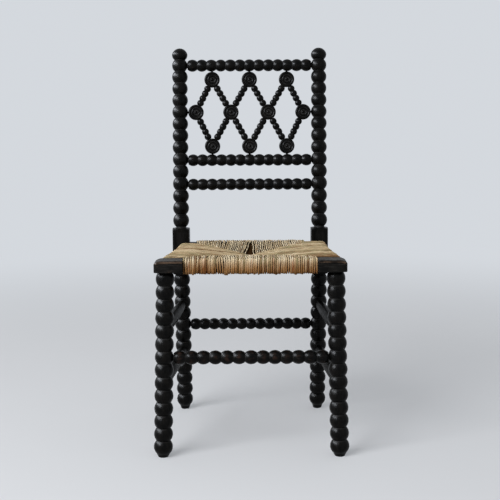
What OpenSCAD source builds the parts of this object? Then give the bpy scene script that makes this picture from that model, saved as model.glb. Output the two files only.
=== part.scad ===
/* [Overall] */
// Height of the rear posts, floor to the top of the cap
chair_h = 880; // [840:1:920]
// Height of the front seat rail's axis above the floor
seat_h = 413; // [390:0.5:440]
// How much lower the seat frame lies at the rear posts
seat_drop = 2.5; // [0:0.5:12]
// Distance from the front leg axes back to the rear post axes, at the seat
seat_depth = 321; // [290:1:350]
// Distance between the front leg axes, under the corner blocks
leg_spacing = 359; // [340:1:380]
// Distance between the rear post axes
post_spacing = 328; // [305:0.5:340]

/* [Lean angles] */
// Backward lean of the posts above the seat, degrees
back_rake = 5; // [0:0.5:8]
// Backward lean of the rear legs below the seat, degrees
rear_leg_rake = 10.5; // [4:0.5:13]
// Outward lean of the front legs, degrees
leg_splay = 1.46; // [0:0.02:3]

/* [Rear posts] */
// Bobbins above the seat block, without the cap
post_beads = 14; // [13:1:15]
// Share by which those bobbins shorten from the block to the cap
post_ease = 0.09; // [0:0.01:0.12]
// Diameter of the lowest bobbin above the seat block
post_bead_d_low = 37.8; // [34:0.1:39]
// Diameter of the highest bobbin and of the cap
post_bead_d_top = 36.4; // [33:0.1:38]
// Diameter in the creases between the bobbins above the seat
post_crease_d = 24.4; // [20:0.1:27]
// Height of the flattened cap
cap_h = 27.2; // [24:0.1:30]
// Height of the widest part of the cap above its crease
cap_waist_h = 11.5; // [9:0.1:13]
// Radius of the cap's rounded shoulder
cap_shoulder_r = 9.5; // [6:0.1:10]
// Width of the square block at seat height
post_sq = 40; // [38:0.5:44]
// Length of the block above the rear seat rail's axis
post_sq_up = 47; // [40:0.5:56]
// Length of the block below the rear seat rail's axis
post_sq_down = 63; // [55:0.5:75]
// Height of the plain neck between the square block and the lowest bobbin
post_neck_h = 3.5; // [0:0.5:6]
// Depth to which the block's corners are turned away at both its ends
post_sq_shoulder = 3.6; // [2:0.2:6]

/* [Rear legs] */
// Bobbins of a rear leg
rear_leg_beads = 12; // [11:1:13]
// Diameter of a rear leg's highest bobbin
rear_bead_d_top = 38.6; // [36:0.1:40]
// Diameter of a rear leg's lowest bobbin
rear_bead_d_foot = 39.6; // [36:0.1:41]
// Diameter in the creases of a rear leg
rear_crease_d = 26.8; // [22:0.1:29]
// Height of the rear foot below the last bobbin
rear_foot_h = 11.5; // [8:0.5:16]
// Diameter of the rear foot on the floor
rear_foot_d = 20; // [16:0.5:24]

/* [Front legs] */
// Bobbins of a front leg
leg_beads = 14; // [13:1:15]
// Diameter of a front leg's highest bobbin
leg_bead_d_top = 39.4; // [37:0.1:41]
// Diameter of a front leg's lowest bobbin
leg_bead_d_foot = 41; // [38:0.1:42]
// Diameter in the creases of a front leg
leg_crease_d = 29.4; // [25:0.1:31]
// Height of the plain neck between the highest bobbin and the corner block
leg_neck_h = 2; // [1:0.5:6]
// Height of the front foot below the last bobbin
leg_foot_h = 8; // [6:0.5:12]
// Diameter of the front foot on the floor
leg_foot_d = 21; // [17:0.5:25]
// Diameter of the tenon on top of a front leg
leg_tenon_d = 20; // [16:0.5:21]
// Length of the tenon on top of a front leg
leg_tenon_l = 18; // [12:0.5:20]

/* [Corner blocks] */
// Thickness of a corner block
block_t = 25; // [23:0.5:30]
// Height of a block's underside below the front seat rail's axis
block_down = 11; // [9:0.5:15]
// Reach of a block from the leg axis to its outer end
block_out = 22.7; // [21:0.1:26]
// Reach of a block from the leg axis to its inner end
block_in = 38; // [36:0.5:46]
// Reach of a block from the leg axis to its front face
block_front = 26; // [23:0.5:30]
// Reach of a block from the leg axis to its back face
block_back = 24; // [22:0.5:28]
// Radius of the worn upper edge
block_edge_r = 6; // [3:0.5:8]
// Radius of the outer front corner
block_corner_r = 5; // [3:0.5:9]

/* [Seat rails] */
// Width of a seat rail
rail_w = 26; // [22:0.5:30]
// Height of a seat rail
rail_h = 26; // [18:0.5:28]
// Radius of a seat rail's edges
rail_edge_r = 7; // [4:0.5:9]
// Diameter of the round tenons of the seat rails
rail_tenon_d = 14; // [10:0.5:15]
// Length of the round tenons of the seat rails
rail_tenon_l = 12; // [8:0.5:12.5]

/* [Rush] */
// Thickness of the rush round a rail
rush_t = 4.3; // [3.5:0.1:5]
// How far the middle of the seat dips below the rush on the rails
rush_dip = 15; // [5:0.5:18]
// How far the underside of the rush bellies down in the middle
rush_belly = 4; // [0:0.5:8]

/* [Back rails] */
// Bobbins of each back rail and stretcher
rail_beads = 13; // [12:1:14]
// Diameter of the top rail's bobbins
top_rail_d = 28.6; // [26:0.1:30]
// Diameter of the bobbins of the two rails under it
back_rail_d = 27.8; // [25:0.1:29]
// Diameter in the creases of the back rails
back_crease_d = 19; // [15:0.1:21]
// Place of the lattice rail, in post bobbins up from the seat block
lattice_rail_at = 5.43; // [5.4:0.01:5.6]
// Place of the lower back rail, in post bobbins up from the seat block
lower_rail_at = 3.42; // [3.4:0.01:3.6]
// Diameter of the round tenons of the back rails
back_tenon_d = 12; // [9:0.5:13]
// Length of the round tenons of the back rails
back_tenon_l = 13; // [8:0.5:14]

/* [Lattice] */
// Place of the lattice's middle row, in post bobbins up from the seat block
middle_row_at = 9.46; // [9.4:0.01:9.6]
// Diameter of a roundel
roundel_d = 36.4; // [32:0.1:37]
// Distance between neighbouring roundels of the top and bottom rows
roundel_step = 88; // [84:0.5:92]
// Thickness of a roundel at its rim
roundel_rim_t = 14; // [12:0.2:16]
// Thickness of a roundel at its centre boss
roundel_boss_t = 16; // [14:0.2:18]
// Thickness in the grooves of a roundel
roundel_groove_t = 10; // [8:0.2:11]
// Radius of the roundel's rim bead
rim_bead_r = 3.1; // [2.6:0.1:3.3]
// Radius of the middle ring's bead
ring_bead_r = 2.2; // [1.8:0.1:2.3]
// Distance of the middle ring from the roundel's centre
ring_at = 8.6; // [8.2:0.1:9]
// Radius of the centre boss
boss_r = 3.6; // [2.8:0.1:4]
// Bobbins of a lattice spindle
spindle_beads = 4; // [3:1:5]
// Diameter of a spindle's bobbins
spindle_d = 16.4; // [12:0.1:17]
// Diameter in the creases of a spindle
spindle_crease_d = 11.4; // [6:0.1:12]
// Diameter of a spindle's tenons
spindle_tenon_d = 5.6; // [4:0.1:6]
// Length of a spindle's tenons
spindle_tenon_l = 4; // [3:0.5:5]
// Diameter of the short pins round the lattice
pin_d = 5; // [4:0.1:6]
// Length of pin that shows between a roundel and its neighbour
pin_gap = 0.8; // [0.8:0.1:3]
// Depth to which a pin sits in a roundel
pin_in_roundel = 4; // [3:0.5:5]
// Depth to which a pin sits in a rail or post
pin_in_frame = 5; // [4:0.5:6]

/* [Stretchers] */
// Diameter of the front stretcher's bobbins
front_stretcher_d = 30; // [27:0.1:31]
// Diameter in the creases of the front stretcher
front_stretcher_crease_d = 20; // [16:0.1:22]
// Diameter of the rear stretcher's bobbins
rear_stretcher_d = 27.8; // [25:0.1:29]
// Diameter in the creases of the rear stretcher
rear_stretcher_crease_d = 18.4; // [15:0.1:20]
// Place of the front stretcher, in front leg bobbins down from the block
front_stretcher_at = 6.55; // [6.4:0.01:6.6]
// Place of the rear stretcher, in rear leg bobbins down from the square block
rear_stretcher_at = 4.53; // [4.4:0.01:4.6]
// Diameter of the round tenons of both stretchers
stretcher_tenon_d = 13; // [10:0.5:14]
// Length of the round tenons of both stretchers
stretcher_tenon_l = 13; // [8:0.5:14]
// Largest diameter of a side stretcher
side_rod_d = 26; // [18:0.5:27]
// Diameter of a side stretcher at its ends
side_rod_end_d = 18; // [12:0.5:18]
// Length over which a side stretcher is straight at both ends
side_rod_straight = 16; // [15:0.5:30]
// Distance from a leg's axis to the end of a side stretcher inside it
side_rod_stop = 7; // [5:0.5:9]
// Height of the upper side stretcher at the front leg
upper_rod_front_h = 275; // [262:0.5:284]
// Height of the upper side stretcher at the rear leg
upper_rod_rear_h = 273.5; // [256:0.5:280]
// Height of the lower side stretcher at the front leg
lower_rod_front_h = 160; // [145:0.5:168]
// Height of the lower side stretcher at the rear leg
lower_rod_rear_h = 158.5; // [138:0.5:162]

/* [Fits] */
// Clearance all round between a tenon and its socket, and under a shoulder
fit = 0.1; // [0.05:0.01:0.2]
// Clearance between the rush and the wood
rush_fit = 0.3; // [0.2:0.05:0.5]

/* [Hidden] */
$fn = 64;
ebony = "#1d1b1a";
straw = "#c4ab7d";
// Lead of a bore outside the shoulder it starts at, and an overlap that joins turned lengths
bore_lead = 20;
core_overlap = 5;
// Width left on the ends of the square block past the middle of its sides
shoulder_lip = 1;
// Straight steps that draw the swelling of a side stretcher, and the fullness of the swelling
swell_steps = 20;
swell_full = 0.6;

// Heights of the seat frame
rear_rail_h = seat_h - seat_drop;
block_z = seat_h - block_down;
sq_top_z = rear_rail_h + post_sq_up;
sq_foot_z = rear_rail_h - post_sq_down;
post_row_z = sq_top_z + post_neck_h;

// Bobbin pitches, measured along each turned axis
post_l = (chair_h - post_row_z) / cos(back_rake);
post_pitch = (post_l - cap_h) / post_beads;
rear_leg_l = (sq_foot_z - rear_foot_h) / cos(rear_leg_rake);
rear_leg_pitch = rear_leg_l / rear_leg_beads;
leg_l = (block_z - leg_foot_h) / cos(leg_splay);
leg_pitch = (leg_l - leg_neck_h) / leg_beads;

// Radius of the circle that draws a bobbin of diameter d, crease diameter c and pitch p, at most a ball
function bead_arc(d, c, p) = min(d / 2, (p * p + (d - c) * (d - c)) / (4 * (d - c)));
// Diameter of bobbin i of n, counted from 0, in a row that runs evenly from a to b
function row_d(a, b, i, n) = a + (b - a) * i / (n - 1);
// Length of the first x bobbins of a row of n, of mean pitch p, that shorten by the share ease
function row_l(x, p, n, ease = 0) = p * x * (1 + ease / 2 * (1 - (x - 1) / (n - 1)));
// Radius of the post bobbin at a place counted in bobbins
function post_bead_r(at) = row_d(post_bead_d_low, post_bead_d_top, floor(at), post_beads) / 2;
// Distance of such a place from the foot of the lowest bobbin, along the post
function post_at(at) = row_l(at, post_pitch, post_beads, post_ease);

// The top rail enters the highest bobbin
top_rail_at = post_beads - 0.5;

// The chair stands with the middle of its footprint on the origin
rear_arc = bead_arc(rear_bead_d_foot, rear_crease_d, rear_leg_pitch);
last_bead_back = (rear_leg_l - rear_leg_pitch / 2) * sin(rear_leg_rake)
    + (rear_bead_d_foot / 2 - rear_arc) * cos(rear_leg_rake) + rear_arc;
leg_y = (block_front - seat_depth - last_bead_back) / 2;
post_y = leg_y + seat_depth;

// Places of the axes
leg_x = leg_spacing / 2;
post_x = post_spacing / 2;
function leg_x_at(z) = leg_x + (block_z - z) * tan(leg_splay);
function rear_leg_y_at(z) = post_y + (sq_foot_z - z) * tan(rear_leg_rake);
front_stretcher_z = block_z - (leg_neck_h + front_stretcher_at * leg_pitch) * cos(leg_splay);
front_stretcher_leg_r = row_d(leg_bead_d_top, leg_bead_d_foot, floor(front_stretcher_at), leg_beads) / 2;
rear_stretcher_z = sq_foot_z - rear_stretcher_at * rear_leg_pitch * cos(rear_leg_rake);
rear_stretcher_leg_r =
    row_d(rear_bead_d_top, rear_bead_d_foot, floor(rear_stretcher_at), rear_leg_beads) / 2;

// Ends of the turned rails, at their shoulders
front_stretcher_end = leg_x_at(front_stretcher_z) - front_stretcher_leg_r / cos(leg_splay) - fit;
rear_stretcher_end = post_x - rear_stretcher_leg_r - fit;
function back_rail_end(at) = post_x - post_bead_r(at) - fit;

// Ends of the seat rails, at their shoulders
front_rail_end = leg_x - block_in - fit;
rear_rail_end = post_x - post_sq / 2 - fit;
side_slope = (leg_x - post_x) / seat_depth;
side_fall = seat_drop / seat_depth;
function side_rail_at(y) = [leg_x - (y - leg_y) * side_slope, y, seat_h - (y - leg_y) * side_fall];
side_rail_front = side_rail_at(leg_y + block_back + fit);
side_rail_back = side_rail_at(post_y - post_sq / 2 - fit);

// Ends of the side stretchers, inside the legs
function rod_start(z) = [leg_x_at(z), leg_y, z];
function rod_end(z) = [post_x, rear_leg_y_at(z), z];
upper_rod = [rod_start(upper_rod_front_h), rod_end(upper_rod_rear_h)];
lower_rod = [rod_start(lower_rod_front_h), rod_end(lower_rod_rear_h)];

// Lattice, in the plane of the back: x across and distance up from the lowest bobbins
roundel_r = roundel_d / 2;
top_row_v = post_at(top_rail_at) - top_rail_d / 2 - pin_gap - roundel_r;
middle_v = post_at(middle_row_at);
bottom_row_v = post_at(lattice_rail_at) + back_rail_d / 2 + pin_gap + roundel_r;
outer_roundel_x = post_x - post_bead_r(middle_row_at) - pin_gap - roundel_r;
top_row = [for (i = [-1:1]) [i * roundel_step, top_row_v]];
bottom_row = [for (i = [-1:1]) [i * roundel_step, bottom_row_v]];
inner_roundel_x = roundel_step / 2;
middle_row = [for (x = [-outer_roundel_x, -inner_roundel_x, inner_roundel_x, outer_roundel_x]) [x, middle_v]];
roundels = concat(top_row, middle_row, bottom_row);
spindles = [for (row = [top_row, bottom_row]) for (i = [0:2]) for (j = [0, 1]) [row[i], middle_row[i + j]]];
// A pin is its roundel's centre, its direction and the distance to the face it enters
pins = concat(
    [for (p = top_row) [p, [0, 1], roundel_r + pin_gap]],
    [for (p = bottom_row) [p, [0, -1], roundel_r + pin_gap]],
    [[middle_row[0], [-1, 0], roundel_r + pin_gap], [middle_row[3], [1, 0], roundel_r + pin_gap]]);

// Rush panels: corners where two panels meet beside a block or post, and the middle of the seat
panel_front_y = leg_y + block_back;
panel_rear_y = post_y - post_sq / 2;
panel_front_x = leg_x - block_in;
panel_rear_x = panel_front_x - (panel_rear_y - panel_front_y) * side_slope;
panel_mid_y = (panel_front_y + panel_rear_y) / 2;
wrap_h = rail_h / 2 + rush_t;
wrap_w = rail_w / 2 + rush_t;
mid_rail_h = seat_h - (panel_mid_y - leg_y) * side_fall;
mid_top_z = mid_rail_h + wrap_h - rush_dip;
mid_foot_z = mid_rail_h - wrap_h - rush_belly;

// Everything is drawn for the right side, and mirrored where side is -1
module on_side(side) {
    mirror([side < 0 ? 1 : 0, 0, 0]) children();
}

// Turns a piece drawn up the Z axis so that it runs from point a towards point b
module from_to(a, b) {
    d = b - a;
    translate(a) rotate([0, acos(d.z / norm(d)), atan2(d.y, d.x)]) children();
}

// Plane of the back: X across, Z up the leaning posts, from the foot of the lowest bobbins
module in_back() {
    translate([0, post_y, post_row_z]) rotate([-back_rake, 0, 0]) children();
}

// Axis of a rear leg, running down from the square block along -Z
module in_rear_leg() {
    translate([post_x, post_y, sq_foot_z]) rotate([rear_leg_rake, 0, 0]) children();
}

// Axis of a front leg, running down from the corner block along -Z
module in_front_leg() {
    translate([leg_x, leg_y, block_z]) rotate([0, -leg_splay, 0]) children();
}

// Half outline of a row of n bobbins from height 0: circles that meet at the creases, round a core
module bead_row_half(d0, d1, c, p, n, ease = 0) {
    intersection() {
        union() {
            for (i = [0:n - 1]) {
                d = row_d(d0, d1, i, n);
                low = row_l(i, p, n, ease);
                high = row_l(i + 1, p, n, ease);
                arc = bead_arc(d, c, high - low);
                translate([d / 2 - arc, (low + high) / 2]) circle(arc);
            }
            translate([0, -c]) square([c / 2, n * p + 2 * c]);
        }
        square([max(d0, d1), n * p]);
    }
}

// A turned rail of equal bobbins along X, with a tenon at each end
module turned_rail(end, d, c, n, tenon_d, tenon_l) {
    pitch = 2 * end / n;
    rotate([0, 90, 0]) {
        translate([0, 0, -end]) rotate_extrude() bead_row_half(d, d, c, pitch, n);
        translate([0, 0, -end - tenon_l]) cylinder(h = 2 * (end + tenon_l), d = tenon_d);
    }
}

// The socket of a tenon that points along +X from its shoulder
module socket_x(shoulder, d, l) {
    translate([shoulder - bore_lead, 0, 0]) rotate([0, 90, 0])
        cylinder(h = bore_lead + l + 2 * fit, d = d + 2 * fit);
}

// Half outline of the wood inside a turned length, reaching into what joins it at both ends
module turned_core(c, l) {
    translate([0, -c / 2]) square([c / 4, l + c / 2 + core_overlap]);
    translate([0, -c / 2]) square([c / 2, c]);
}

// Half outline of the flattened cap: a bobbin below its waist, a shoulder and a crown above
module cap_half() {
    r = post_bead_d_top / 2;
    c = post_crease_d / 2;
    arc = bead_arc(post_bead_d_top, post_crease_d, 2 * cap_waist_h);
    rise = cap_h - cap_waist_h;
    flat = r - cap_shoulder_r;
    crown = (rise * rise + flat * flat - cap_shoulder_r * cap_shoulder_r) / (2 * (rise - cap_shoulder_r));
    intersection() {
        translate([r - arc, cap_waist_h]) circle(arc);
        square([r, cap_waist_h]);
    }
    square([c, cap_waist_h]);
    intersection() {
        translate([0, cap_h - crown]) circle(crown);
        translate([0, cap_waist_h]) square([flat * crown / (crown - cap_shoulder_r), rise]);
    }
    intersection() {
        translate([flat, cap_waist_h]) circle(cap_shoulder_r);
        translate([0, cap_waist_h]) square([r, rise]);
    }
}

// The bores of a side stretcher's two ends, from inside each leg to well outside it
module rod_bore(rod) {
    for (ends = [[rod[0], rod[1]], [rod[1], rod[0]]]) from_to(ends[0], ends[1])
        translate([0, 0, side_rod_stop - fit]) cylinder(h = leg_bead_d_foot, d = side_rod_end_d + 2 * fit);
}

module rear_post(side) color(ebony) on_side(side) difference() {
    union() {
        in_back() translate([post_x, 0, 0]) rotate_extrude() {
            bead_row_half(post_bead_d_low, post_bead_d_top, post_crease_d, post_pitch,
                post_beads, post_ease);
            translate([0, post_l - cap_h]) cap_half();
            turned_core(post_crease_d, post_l - cap_h);
        }
        translate([post_x, post_y, sq_foot_z]) intersection() {
            translate([-post_sq / 2, -post_sq / 2, 0]) cube([post_sq, post_sq, sq_top_z - sq_foot_z]);
            rotate_extrude() post_sq_shoulders(sq_top_z - sq_foot_z);
        }
        intersection() {
            in_rear_leg() rotate([180, 0, 0]) rotate_extrude() {
                bead_row_half(rear_bead_d_top, rear_bead_d_foot, rear_crease_d, rear_leg_pitch,
                    rear_leg_beads);
                translate([0, rear_leg_l])
                    foot_half(rear_crease_d, rear_foot_d, rear_foot_h / cos(rear_leg_rake));
                turned_core(rear_crease_d, rear_leg_l);
            }
            above_floor();
        }
    }
    in_back() for (rail = [top_rail_at, lattice_rail_at, lower_rail_at])
        translate([0, 0, post_at(rail)]) socket_x(back_rail_end(rail), back_tenon_d, back_tenon_l);
    in_back() pin_hole(pins[len(pins) - 1], pin_in_frame);
    translate([0, post_y, rear_rail_h]) socket_x(rear_rail_end, rail_tenon_d, rail_tenon_l);
    translate([0, rear_leg_y_at(rear_stretcher_z), rear_stretcher_z])
        socket_x(rear_stretcher_end, stretcher_tenon_d, stretcher_tenon_l);
    side_rail_bore();
    rod_bore(upper_rod);
    rod_bore(lower_rod);
}

// Half outline that rounds the corners at both ends of the square block
module post_sq_shoulders(l) {
    inner = post_sq / 2 + shoulder_lip;
    outer = post_sq * sqrt(2) - inner;
    depth = 2 * post_sq_shoulder;
    polygon([[0, 0], [inner, 0], [outer, depth], [outer, l - depth], [inner, l], [0, l]]);
}

// Half outline of a foot that tapers from the last crease to the floor and a little below it
module foot_half(d0, d1, h) {
    polygon([[0, 0], [d0 / 2, 0], [d1 / 2, h], [d1 / 2, 2 * h], [0, 2 * h]]);
}

module above_floor() {
    translate([-chair_h, -chair_h, 0]) cube(2 * chair_h);
}

module front_leg(side) color(ebony) on_side(side) difference() {
    intersection() {
        in_front_leg() {
            rotate([180, 0, 0]) rotate_extrude() {
                translate([0, fit]) square([leg_crease_d / 2, leg_neck_h]);
                translate([0, leg_neck_h])
                    bead_row_half(leg_bead_d_top, leg_bead_d_foot, leg_crease_d, leg_pitch, leg_beads);
                translate([0, leg_l]) foot_half(leg_crease_d, leg_foot_d, leg_foot_h / cos(leg_splay));
                translate([0, leg_crease_d]) turned_core(leg_crease_d, leg_l - leg_crease_d);
            }
            translate([0, 0, -leg_neck_h]) cylinder(h = leg_neck_h + leg_tenon_l, d = leg_tenon_d);
        }
        above_floor();
    }
    translate([0, leg_y, front_stretcher_z])
        socket_x(front_stretcher_end, stretcher_tenon_d, stretcher_tenon_l);
    rod_bore(upper_rod);
    rod_bore(lower_rod);
}

// Bores of the side rail's two tenons
module side_rail_bore() {
    reach = rail_tenon_l + fit;
    from_to(side_rail_front, side_rail_back) translate([0, 0, -reach])
        cylinder(h = norm(side_rail_back - side_rail_front) + 2 * reach, d = rail_tenon_d + 2 * fit);
}

module corner_block(side) color(ebony) on_side(side) difference() {
    intersection() {
        linear_extrude(height = chair_h)
            block_outline(leg_y - block_front, leg_y + block_back, block_corner_r);
        translate([0, leg_y + block_back, 0]) rotate([90, 0, 0])
            linear_extrude(height = block_front + block_back)
                block_outline(block_z, block_z + block_t, block_edge_r, true);
        translate([leg_x - block_in, 0, 0]) rotate([90, 0, 90]) linear_extrude(height = block_in + block_out)
            block_side_outline();
    }
    in_front_leg() translate([0, 0, -fit]) cylinder(h = leg_tenon_l + 2 * fit, d = leg_tenon_d + 2 * fit);
    translate([0, leg_y, seat_h]) socket_x(front_rail_end, rail_tenon_d, rail_tenon_l);
    side_rail_bore();
}

// Outline of a corner block across X, with one outer corner rounded: the low one, or the high one
module block_outline(low, high, r, high_corner = false) {
    x0 = leg_x - block_in;
    x1 = leg_x + block_out;
    translate([x0, low]) square([x1 - r - x0, high - low]);
    translate([x0, high_corner ? low : low + r]) square([x1 - x0, high - low - r]);
    translate([x1 - r, high_corner ? high - r : low + r]) circle(r);
}

// Outline of a corner block from the side, with its upper front corner rounded
module block_side_outline() {
    y0 = leg_y - block_front;
    y1 = leg_y + block_back;
    r = block_edge_r;
    translate([y0 + r, block_z]) square([y1 - y0 - r, block_t]);
    translate([y0, block_z]) square([y1 - y0, block_t - r]);
    translate([y0 + r, block_z + block_t - r]) circle(r);
}

// Section of a seat rail, grown by a margin on every side
module rail_section(grow) {
    w = rail_w + 2 * grow;
    h = rail_h + 2 * grow;
    r = rail_edge_r + grow;
    square([w - 2 * r, h], center = true);
    square([w, h - 2 * r], center = true);
    for (x = [-1, 1]) for (y = [-1, 1]) translate([x * (w / 2 - r), y * (h / 2 - r)]) circle(r);
}

// A bar of the rail section between two points, section width level, from_to's X turned upright
module rail_bar(a, b, grow) {
    from_to(a, b) linear_extrude(height = norm(b - a)) rotate(90) rail_section(grow);
}

// A seat rail between two shoulders, with its round tenons
module seat_rail(a, b) color(ebony) {
    step = (b - a) / norm(b - a) * rail_tenon_l;
    rail_bar(a, b, 0);
    from_to(a - step, b + step) cylinder(h = norm(b - a) + 2 * rail_tenon_l, d = rail_tenon_d);
}

// A side stretcher that swells gently between its straight ends
module side_stretcher(rod, side) color(ebony) on_side(side) from_to(rod[0], rod[1]) {
    l = norm(rod[1] - rod[0]) - 2 * side_rod_stop;
    r = side_rod_end_d / 2;
    swell = side_rod_d / 2 - r;
    step = (l - 2 * side_rod_straight) / swell_steps;
    curve = [for (i = [0:swell_steps])
        [r + swell * pow(sin(180 * i / swell_steps), swell_full), side_rod_straight + step * i]];
    translate([0, 0, side_rod_stop]) rotate_extrude()
        polygon(concat([[0, 0], [r, 0]], curve, [[r, l], [0, l]]));
}

// A point of the back's plane as a point in space
function back_point(p) = [p.x, 0, p.y];

// A bore in the back's plane that leaves a point along a direction, between two distances
module back_bore(p, dir, near, far, d) {
    from_to(back_point(p), back_point(p + dir))
        translate([0, 0, near]) cylinder(h = far - near, d = d + 2 * fit);
}

// The hole that a pin needs in the rail or post it enters
module pin_hole(pin, depth) {
    back_bore(pin[0], pin[1], roundel_r, pin[2] + depth + fit, pin_d);
}

module back_rail(at, d) color(ebony) in_back() difference() {
    translate([0, 0, post_at(at)])
        turned_rail(back_rail_end(at), d, back_crease_d, rail_beads, back_tenon_d, back_tenon_l);
    for (pin = pins) if (pin[1].x == 0) pin_hole(pin, pin_in_frame);
}

// Half outline of a roundel: disc, rim, ring and boss, the same on both faces
module roundel_half() {
    rim_x = roundel_r - rim_bead_r;
    rim_y = roundel_rim_t / 2 - rim_bead_r;
    translate([0, -roundel_groove_t / 2]) square([rim_x, roundel_groove_t]);
    translate([rim_x - rim_bead_r, -rim_y]) square([2 * rim_bead_r, 2 * rim_y]);
    for (face = [-1, 1]) {
        translate([rim_x, face * rim_y]) circle(rim_bead_r);
        translate([ring_at, face * (roundel_rim_t / 2 - ring_bead_r)]) circle(ring_bead_r);
        intersection() {
            translate([0, face * (roundel_boss_t / 2 - boss_r)]) circle(boss_r);
            translate([0, -roundel_boss_t / 2]) square([boss_r, roundel_boss_t]);
        }
    }
}

module roundel(at) color(ebony) in_back() difference() {
    translate(back_point(at)) rotate([90, 0, 0]) rotate_extrude() roundel_half();
    for (s = spindles) for (ends = [[s[0], s[1]], [s[1], s[0]]]) if (ends[0] == at)
        back_bore(at, ends[1] - at, roundel_r - spindle_tenon_l, roundel_d, spindle_tenon_d);
    for (pin = pins) if (pin[0] == at)
        back_bore(at, pin[1], roundel_r - pin_in_roundel - fit, roundel_d, pin_d);
}

module lattice_spindle(s) color(ebony) in_back() from_to(back_point(s[0]), back_point(s[1])) {
    shoulder = roundel_r + fit;
    l = norm(s[1] - s[0]) - 2 * shoulder;
    translate([0, 0, shoulder]) {
        rotate_extrude()
            bead_row_half(spindle_d, spindle_d, spindle_crease_d, l / spindle_beads, spindle_beads);
        translate([0, 0, -spindle_tenon_l]) cylinder(h = l + 2 * spindle_tenon_l, d = spindle_tenon_d);
    }
}

module lattice_pin(pin) color(ebony) in_back() from_to(back_point(pin[0]), back_point(pin[0] + pin[1])) {
    start = roundel_r - pin_in_roundel;
    translate([0, 0, start]) cylinder(h = pin[2] + pin_in_frame - start, d = pin_d);
}

module front_stretcher() color(ebony) translate([0, leg_y, front_stretcher_z])
    turned_rail(front_stretcher_end, front_stretcher_d, front_stretcher_crease_d, rail_beads,
        stretcher_tenon_d, stretcher_tenon_l);

module rear_stretcher() color(ebony) translate([0, rear_leg_y_at(rear_stretcher_z), rear_stretcher_z])
    turned_rail(rear_stretcher_end, rear_stretcher_d, rear_stretcher_crease_d, rail_beads,
        stretcher_tenon_d, stretcher_tenon_l);

// Section of a rush panel across its rail: u runs from the rail's axis towards the middle of the seat
module rush_section(corner_u, reach, top_fall, foot_fall) {
    rail_section(rush_t);
    polygon([[0, -wrap_h], [corner_u, -wrap_h], [reach, -wrap_h - foot_fall],
        [reach, wrap_h - top_fall], [corner_u, wrap_h], [0, wrap_h]]);
}

// The front or rear panel, drawn about the rail's axis with the middle of the seat towards +Y
module rush_end_panel(half_w, corner_u, reach, rail_z) {
    half_l = half_w - rush_fit;
    difference() {
        intersection() {
            rotate([90, 0, 90]) translate([0, 0, -half_l]) linear_extrude(height = 2 * half_l)
                rush_section(corner_u, reach, rail_z + wrap_h - mid_top_z, rail_z - wrap_h - mid_foot_z);
            translate([0, 0, -2 * wrap_h]) linear_extrude(height = 4 * wrap_h)
                polygon([[-half_w, corner_u - fit], [-half_w, -2 * wrap_w], [half_w, -2 * wrap_w],
                    [half_w, corner_u - fit], [0, reach - fit]]);
        }
        rail_bar([-half_w, 0, 0], [half_w, 0, 0], rush_fit);
    }
}

module rush_front() color(straw) translate([0, leg_y, seat_h])
    rush_end_panel(panel_front_x, block_back, panel_mid_y - leg_y, seat_h);

module rush_rear() color(straw) translate([0, post_y, rear_rail_h]) mirror([0, 1, 0])
    rush_end_panel(panel_rear_x, post_sq / 2, post_y - panel_mid_y, rear_rail_h);

// The panel on the right rail, whose rush runs from left to right
module rush_side(side) color(straw) on_side(side) {
    lean = cos(atan(side_slope));
    start = side_rail_at(leg_y);
    end = side_rail_at(post_y);
    difference() {
        intersection() {
            from_to(start, end) linear_extrude(height = norm(end - start)) rotate(90)
                rush_section((start.x - panel_front_x - block_back * side_slope) * lean,
                    side_rail_at(panel_mid_y).x * lean, rush_dip, rush_belly);
            linear_extrude(height = chair_h) polygon([[fit, panel_mid_y],
                [panel_front_x + fit, panel_front_y], [chair_h, panel_front_y],
                [chair_h, panel_rear_y], [panel_rear_x + fit, panel_rear_y]]);
            translate([0, panel_front_y + rush_fit, 0])
                cube([chair_h, panel_rear_y - panel_front_y - 2 * rush_fit, chair_h]);
        }
        rail_bar(start, end, rush_fit);
    }
}

for (side = [-1, 1]) {
    name = side < 0 ? "left" : "right";
    rear_post(side);
    front_leg(side);
    corner_block(side);
    on_side(side) seat_rail(side_rail_front, side_rail_back);
    rush_side(side);
    side_stretcher(upper_rod, side);
    side_stretcher(lower_rod, side);
}
seat_rail([-front_rail_end, leg_y, seat_h], [front_rail_end, leg_y, seat_h]);  // seat_rail_front
seat_rail([-rear_rail_end, post_y, rear_rail_h], [rear_rail_end, post_y, rear_rail_h]);  // seat_rail_rear
rush_front();
rush_rear();
back_rail(top_rail_at, top_rail_d);  // top_rail
back_rail(lattice_rail_at, back_rail_d);  // lattice_rail
back_rail(lower_rail_at, back_rail_d);  // lower_back_rail
front_stretcher();
rear_stretcher();
for (i = [1:len(roundels)])
    roundel(roundels[i - 1]);
for (i = [1:len(spindles)])
    lattice_spindle(spindles[i - 1]);
for (i = [1:len(pins)])
    lattice_pin(pins[i - 1]);
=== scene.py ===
import math

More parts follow.
